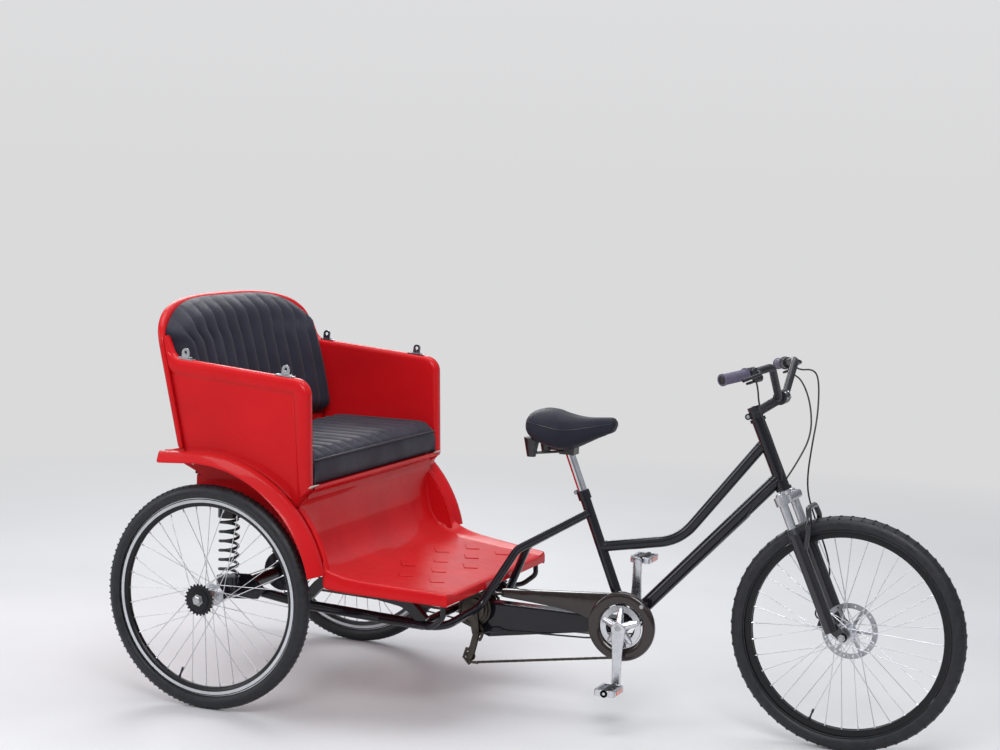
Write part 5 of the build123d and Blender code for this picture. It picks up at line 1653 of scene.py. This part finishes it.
GUARD_WALL = 2.2
GUARD_BEND = 5


def build_guard():
    """Smoked chain cover: a rounded ring round the chainring, and a tapered tail with rounded edges."""
    form = turned(GUARD_RING[::-1], HUB, count=96)
    rows = []
    bend, wall = GUARD_BEND, GUARD_WALL
    for station, low, high, ahead, face in GUARD_TAIL:
        section = (
            (GUARD_BACK, high), (face + bend, high), (face + 1.4, high - 1.6), (face, high - bend),
            (face, low + bend), (face + 1.4, low + 1.6), (face + bend, low), (GUARD_BACK, low),
            (GUARD_BACK, low + wall), (face + wall + bend, low + wall), (face + wall, low + bend),
            (face + wall, high - bend), (face + wall + bend, high - wall), (GUARD_BACK, high - wall))
        rows.append([Vector((station + ahead * (height - low) / (high - low), across, height))
                     for across, height in section])
    form.skin(rows, round_rows=True)
    form.add([(743.6, -42, 334), (743.6, -61, 334), (743.6, -61, 354), (743.6, -42, 354)], [(0, 1, 2, 3)])
    dress("chain_guard_cover", form, "guard_smoke", 40, "frame", "guard_smoke", "chain_guard")
    lug = HUB + Vector((62, 0, 66))
    arm = tube([lug + Vector((0, across, 0)) for across in (-60.5, -18)], 5.6, 16)
    arm.join(bolt(lug + Vector((0, -62.4, 0)), (0, -1, 0), 4.2, 2.6, 6, 6.5))
    dress("chain_guard_mount", arm, "bolt_steel", 40, "frame", "guard_smoke")


# Frame details


def weld(centre, along, radius, size=2.6):
    """A rippled weld bead round a tube."""
    centre = Vector(centre)
    along = Vector(along).normalized()
    side = along.orthogonal().normalized()
    up = along.cross(side)
    rows = []
    for step, (x, y) in enumerate(circle(max(24, int(radius * 2.4)))):
        aim = side * x + up * y
        ripple = size * (1 + 0.12 * (step % 2))
        rows.append([centre + aim * (radius - 0.4 + ripple * 0.55 * out) + along * (ripple * rise)
                     for out, rise in circle(6)])
    form = Form()
    form.skin(rows, round_rows=True, round_columns=True)
    return form


# Joints of the frame's tubes
SEAT_TOP = Vector((966, 0, 661))
TOP_TUBE_BEND = Vector((1268, 0, 549))
TOP_TUBE_SHARE = 0.585
HEAD_LOW = 474
HEAD_HIGH = 583


def build_welds():
    """Weld beads where the frame's tubes meet."""
    head_low = steered(0, 0, HEAD_LOW)
    head_high = steered(0, 0, HEAD_HIGH)
    top_low = HUB.lerp(SEAT_TOP, TOP_TUBE_SHARE)
    down = (head_low - HUB).normalized()
    seat = (SEAT_TOP - HUB).normalized()
    first = (TOP_TUBE_BEND - top_low).normalized()
    second = (head_high - TOP_TUBE_BEND).normalized()
    beads = Form()
    for start, reach, along, radius in ((head_low, -21, down, 20), (HUB, 27, down, 20), (HUB, 24, seat, 15.5),
                                        (top_low, 17, first, 16), (head_high, -20, second, 16)):
        beads.join(weld(start + along * reach, along, radius))
    dress("frame_weld_beads", beads, "frame_paint", 50, "frame", "frame_paint")


def build_collar_and_bolts():
    """The clamp at the seat tube's top, and bolts on it and on the canopy brackets."""
    seat = (SEAT_TOP - HUB).normalized()
    collar = tube([SEAT_TOP + seat * reach for reach in (-9, -8, 5, 6)], [17.6, 18.6, 18.6, 17.6], 32)
    lug = SEAT_TOP - seat * 1.5 - Vector((cos(0.3), 0, 0)) * 21
    right, left = [lug + Vector((0, across, 0)) for across in (-9, 9)]
    collar.join(tube([right, left], 6.4, 14))
    dress("seat_collar", collar, "piping", 40, "frame", "frame_paint")
    bolts = bolt(right, (0, -1, 0), 4, 3, 6, 5.4)
    bolts.join(bolt(left, (0, 1, 0), 4.6, 4, 6, 5.8))
    for side in (-1, 1):
        for station in (-120, 210):
            level = 1016 + (979.6 - 1016) * (station + 150) / 441.5 + 3
            for reach in (-18, 18):
                bolts.join(bolt((station + reach, side * 449, level), (0, 0, 1), 4.2, 3, 6, 6.4))
        for station in (-96, 20):
            bolts.join(bolt((station, side * 433.8, 708), (0, side, 0), 4, 2.6, 6, 6))
    dress("body_bolts", bolts, "bolt_steel", 35, "frame", "bracket_steel")


def build_painted_sill_highlight():
    """A pale line where the sill meets the side panel: a painted highlight along the sill's corner."""
    highlight_line = Form()
    for side in (-1, 1):
        path = [(299, side * 463, 672), (303.6, side * 452, 673.5), (304.2, side * 430, 674.4),
                (304.0, side * 404, 674.6)]
        highlight_line.join(tube(path, [2.0, 3.4, 2.8, 1.2], 8))
    dress("sill_filler_line", highlight_line, "sill_highlight_paint", 60, "frame", "body_red")


# Stage


FLOOR_REACH = 30.0
LAMPS = (
    # Name, place, aim, size, power
    ("key", (1.6, -4.2, 4.2), (0, 0, 0.6), (3.0, 2.0), 165),
    ("overhead", (-0.6, 0.4, 4.4), (-0.2, 0, 0.5), (4.0, 2.4), 100),
    ("fill", (-4.6, -3.2, 2.2), (-0.4, 0, 0.7), (2.4, 2.4), 60),
    ("rear", (-3.2, 4.2, 3.4), (0, 0, 0.6), (3.0, 2.0), 90))
CAMERA_PLACE = (2.042, -5.516, 1.588)
CAMERA_TURN = 22.08
CAMERA_DIP = 5.76
CAMERA_ROLL = 2.04
CAMERA_LENS = 72.45
SENSOR_WIDTH = 36


def build_floor():
    """Pale floor that fades into the surround in the distance."""
    mesh = bpy.data.meshes.new("studio_floor")
    size = FLOOR_REACH
    mesh.from_pydata([(-size, -size, 0), (size, -size, 0), (size, size, 0), (-size, size, 0)], [],
                     [(0, 1, 2, 3)])
    floor = linked("studio_floor", mesh)
    material, tree, shader, place = new_material("studio_floor", Roughness=0.6)
    tone = mixed(tree, remap(tree, noise(tree, place, 900, 3), 0.3, 0.7, 0, 1), linear("D4D4D5"),
                 linear("DBDBDC"))
    tree.links.new(tone, shader.inputs["Base Color"])
    reach = add(tree, "ShaderNodeVectorMath", {0: place}, operation="LENGTH").outputs["Value"]
    far = remap(tree, reach, 2.2, 5.5, 0.0, 1.0)
    path = add(tree, "ShaderNodeLightPath")
    seen = add(tree, "ShaderNodeMath", {0: path.outputs["Is Camera Ray"], 1: path.outputs["Is Glossy Ray"]},
               operation="ADD", use_clamp=True).outputs[0]
    fade = add(tree, "ShaderNodeMath", {0: far, 1: seen}, operation="MULTIPLY").outputs[0]
    glow = add(tree, "ShaderNodeEmission", {"Color": linear("DADADB"), "Strength": 1.0})
    blend = add(tree, "ShaderNodeMixShader", {0: fade, 1: shader.outputs[0], 2: glow.outputs[0]})
    out = [node for node in tree.nodes if node.type == "OUTPUT_MATERIAL"][0]
    tree.links.new(blend.outputs[0], out.inputs[0])
    mesh.materials.append(material)


def build_surround():
    """A pale surround, darker where the glossy surfaces mirror it near the floor."""
    world = bpy.data.worlds.new("studio")
    bpy.context.scene.world = world
    world.use_nodes = True
    tree = world.node_tree
    tree.nodes.clear()
    path = add(tree, "ShaderNodeLightPath")
    place = add(tree, "ShaderNodeTexCoord").outputs["Generated"]
    height = add(tree, "ShaderNodeSeparateXYZ", {0: place}).outputs[2]
    seen = add(tree, "ShaderNodeMath", {0: path.outputs["Is Camera Ray"],
                                        1: path.outputs["Is Transmission Ray"]},
               operation="ADD", use_clamp=True).outputs[0]
    glossy = mixed(tree, remap(tree, height, -0.05, 0.5, 0, 1), linear("4C4E54"), linear("C8CBD2"))
    soft = mixed(tree, path.outputs["Is Glossy Ray"], linear("A9ACB3"), glossy)
    backdrop = mixed(tree, remap(tree, height, 0, 0.35, 0, 1), linear("DADADB"), linear("E8E9EB"))
    tone = mixed(tree, seen, soft, backdrop)
    back = add(tree, "ShaderNodeBackground", {"Color": tone, "Strength": 1.0})
    out = add(tree, "ShaderNodeOutputWorld")
    tree.links.new(back.outputs[0], out.inputs[0])


def build_lamps():
    """Large soft lamps, each aimed at the vehicle."""
    for name, place, aim, size, power in LAMPS:
        lamp = bpy.data.lights.new(name, "AREA")
        lamp.shape = "RECTANGLE"
        lamp.size, lamp.size_y = size
        lamp.energy = power
        holder = linked(name, lamp)
        holder.location = place
        holder.rotation_euler = (Vector(aim) - Vector(place)).to_track_quat("-Z", "Y").to_euler()


def build_camera():
    """The camera at the photograph's viewpoint."""
    azimuth, elevation, roll = [radians(angle) for angle in (CAMERA_TURN, CAMERA_DIP, CAMERA_ROLL)]
    right = Vector((cos(azimuth), sin(azimuth), 0))
    ahead = Vector((-sin(azimuth) * cos(elevation), cos(azimuth) * cos(elevation), -sin(elevation)))
    up = right.cross(ahead)
    turned_right = right * cos(roll) + up * sin(roll)
    turned_up = up * cos(roll) - right * sin(roll)
    camera = bpy.data.cameras.new("view")
    camera.lens = CAMERA_LENS
    camera.sensor_width = SENSOR_WIDTH
    holder = linked("view", camera)
    holder.matrix_world = Matrix((turned_right, turned_up, -ahead)).transposed().to_4x4()
    holder.location = CAMERA_PLACE
    bpy.context.scene.camera = holder


def paint_frame():
    """Give each part of the frame its own finish."""
    for part in frame["record"]["subparts"]:
        node = frame["nodes"][part["node"]]
        node.data.materials.clear()
        node.data.materials.append(materials[part["material_slot"]])


# Operators


class RICKSHAW_OT_finishes(bpy.types.Operator):
    """Make the finishes and paint the frame's own parts"""
    bl_idname = "rickshaw.finishes"
    bl_label = "Finishes"

    def execute(self, context):
        make_materials()
        paint_frame()
        return {"FINISHED"}


class RICKSHAW_OT_body(bpy.types.Operator):
    """Build the moulded body: side panels, fenders, backrest and floor tray"""
    bl_idname = "rickshaw.body"
    bl_label = "Moulded body"

    def execute(self, context):
        build_side_panels()
        build_fenders()
        build_back_panel()
        build_seat_ledge()
        build_floor_tray()
        return {"FINISHED"}


class RICKSHAW_OT_cushions(bpy.types.Operator):
    """Build the seat and back cushions"""
    bl_idname = "rickshaw.cushions"
    bl_label = "Cushions"

    def execute(self, context):
        build_back_cushion()
        build_seat_cushion()
        return {"FINISHED"}


class RICKSHAW_OT_wheels(bpy.types.Operator):
    """Build the tyres, rims and spokes"""
    bl_idname = "rickshaw.wheels"
    bl_label = "Wheels"

    def execute(self, context):
        build_tyres()
        build_rims()
        build_hubs()
        return {"FINISHED"}


class RICKSHAW_OT_cockpit(bpy.types.Operator):
    """Build the saddle, grips, shifters and fork details"""
    bl_idname = "rickshaw.cockpit"
    bl_label = "Saddle and bar"

    def execute(self, context):
        build_saddle()
        build_grips()
        build_bar_details()
        build_cables()
        build_fork_details()
        return {"FINISHED"}


class RICKSHAW_OT_drive(bpy.types.Operator):
    """Build the cranks, pedals, chains and chain cover"""
    bl_idname = "rickshaw.drive"
    bl_label = "Drive"

    def execute(self, context):
        build_crank()
        build_pedals()
        build_chains()
        build_guard()
        return {"FINISHED"}


class RICKSHAW_OT_details(bpy.types.Operator):
    """Build the weld beads, clamps and bolts"""
    bl_idname = "rickshaw.details"
    bl_label = "Frame details"

    def execute(self, context):
        build_welds()
        build_collar_and_bolts()
        build_painted_sill_highlight()
        return {"FINISHED"}


class RICKSHAW_OT_stage(bpy.types.Operator):
    """Set the floor, lamps, surround and camera"""
    bl_idname = "rickshaw.stage"
    bl_label = "Stage"

    def execute(self, context):
        context.scene.view_settings.view_transform = "Standard"
        build_floor()
        build_surround()
        build_lamps()
        build_camera()
        return {"FINISHED"}


class RICKSHAW_PT_panel(bpy.types.Panel):
    """Lists the rickshaw's sizes and its build steps"""
    bl_idname = "RICKSHAW_PT_panel"
    bl_label = "Cycle rickshaw"
    bl_space_type = "VIEW_3D"
    bl_region_type = "UI"
    bl_category = "Rickshaw"

    def draw(self, context):
        scene = context.scene
        for group in (scene.rickshaw_body, scene.rickshaw_wheels, scene.rickshaw_colours):
            box = self.layout.box()
            for name in group.bl_rna.properties.keys():
                if name not in ("rna_type", "name"):
                    box.prop(group, name)
        for step in steps:
            self.layout.operator(step.bl_idname)


steps = (RICKSHAW_OT_finishes, RICKSHAW_OT_body, RICKSHAW_OT_cushions, RICKSHAW_OT_wheels,
         RICKSHAW_OT_cockpit,
         RICKSHAW_OT_drive, RICKSHAW_OT_details, RICKSHAW_OT_stage)
classes = (RickshawBody, RickshawWheels, RickshawColours, *steps, RICKSHAW_PT_panel)


def register():
    for item in classes:
        bpy.utils.register_class(item)
    bpy.types.Scene.rickshaw_body = bpy.props.PointerProperty(type=RickshawBody)
    bpy.types.Scene.rickshaw_wheels = bpy.props.PointerProperty(type=RickshawWheels)
    bpy.types.Scene.rickshaw_colours = bpy.props.PointerProperty(type=RickshawColours)


def unregister():
    del bpy.types.Scene.rickshaw_colours
    del bpy.types.Scene.rickshaw_wheels
    del bpy.types.Scene.rickshaw_body
    for item in reversed(classes):
        bpy.utils.unregister_class(item)


def main():
    register()
    bpy.ops.rickshaw.finishes()
    bpy.ops.rickshaw.body()
    bpy.ops.rickshaw.cushions()
    bpy.ops.rickshaw.wheels()
    bpy.ops.rickshaw.cockpit()
    bpy.ops.rickshaw.drive()
    bpy.ops.rickshaw.details()
    bpy.ops.rickshaw.stage()


if __name__ == "__main__":
    main()
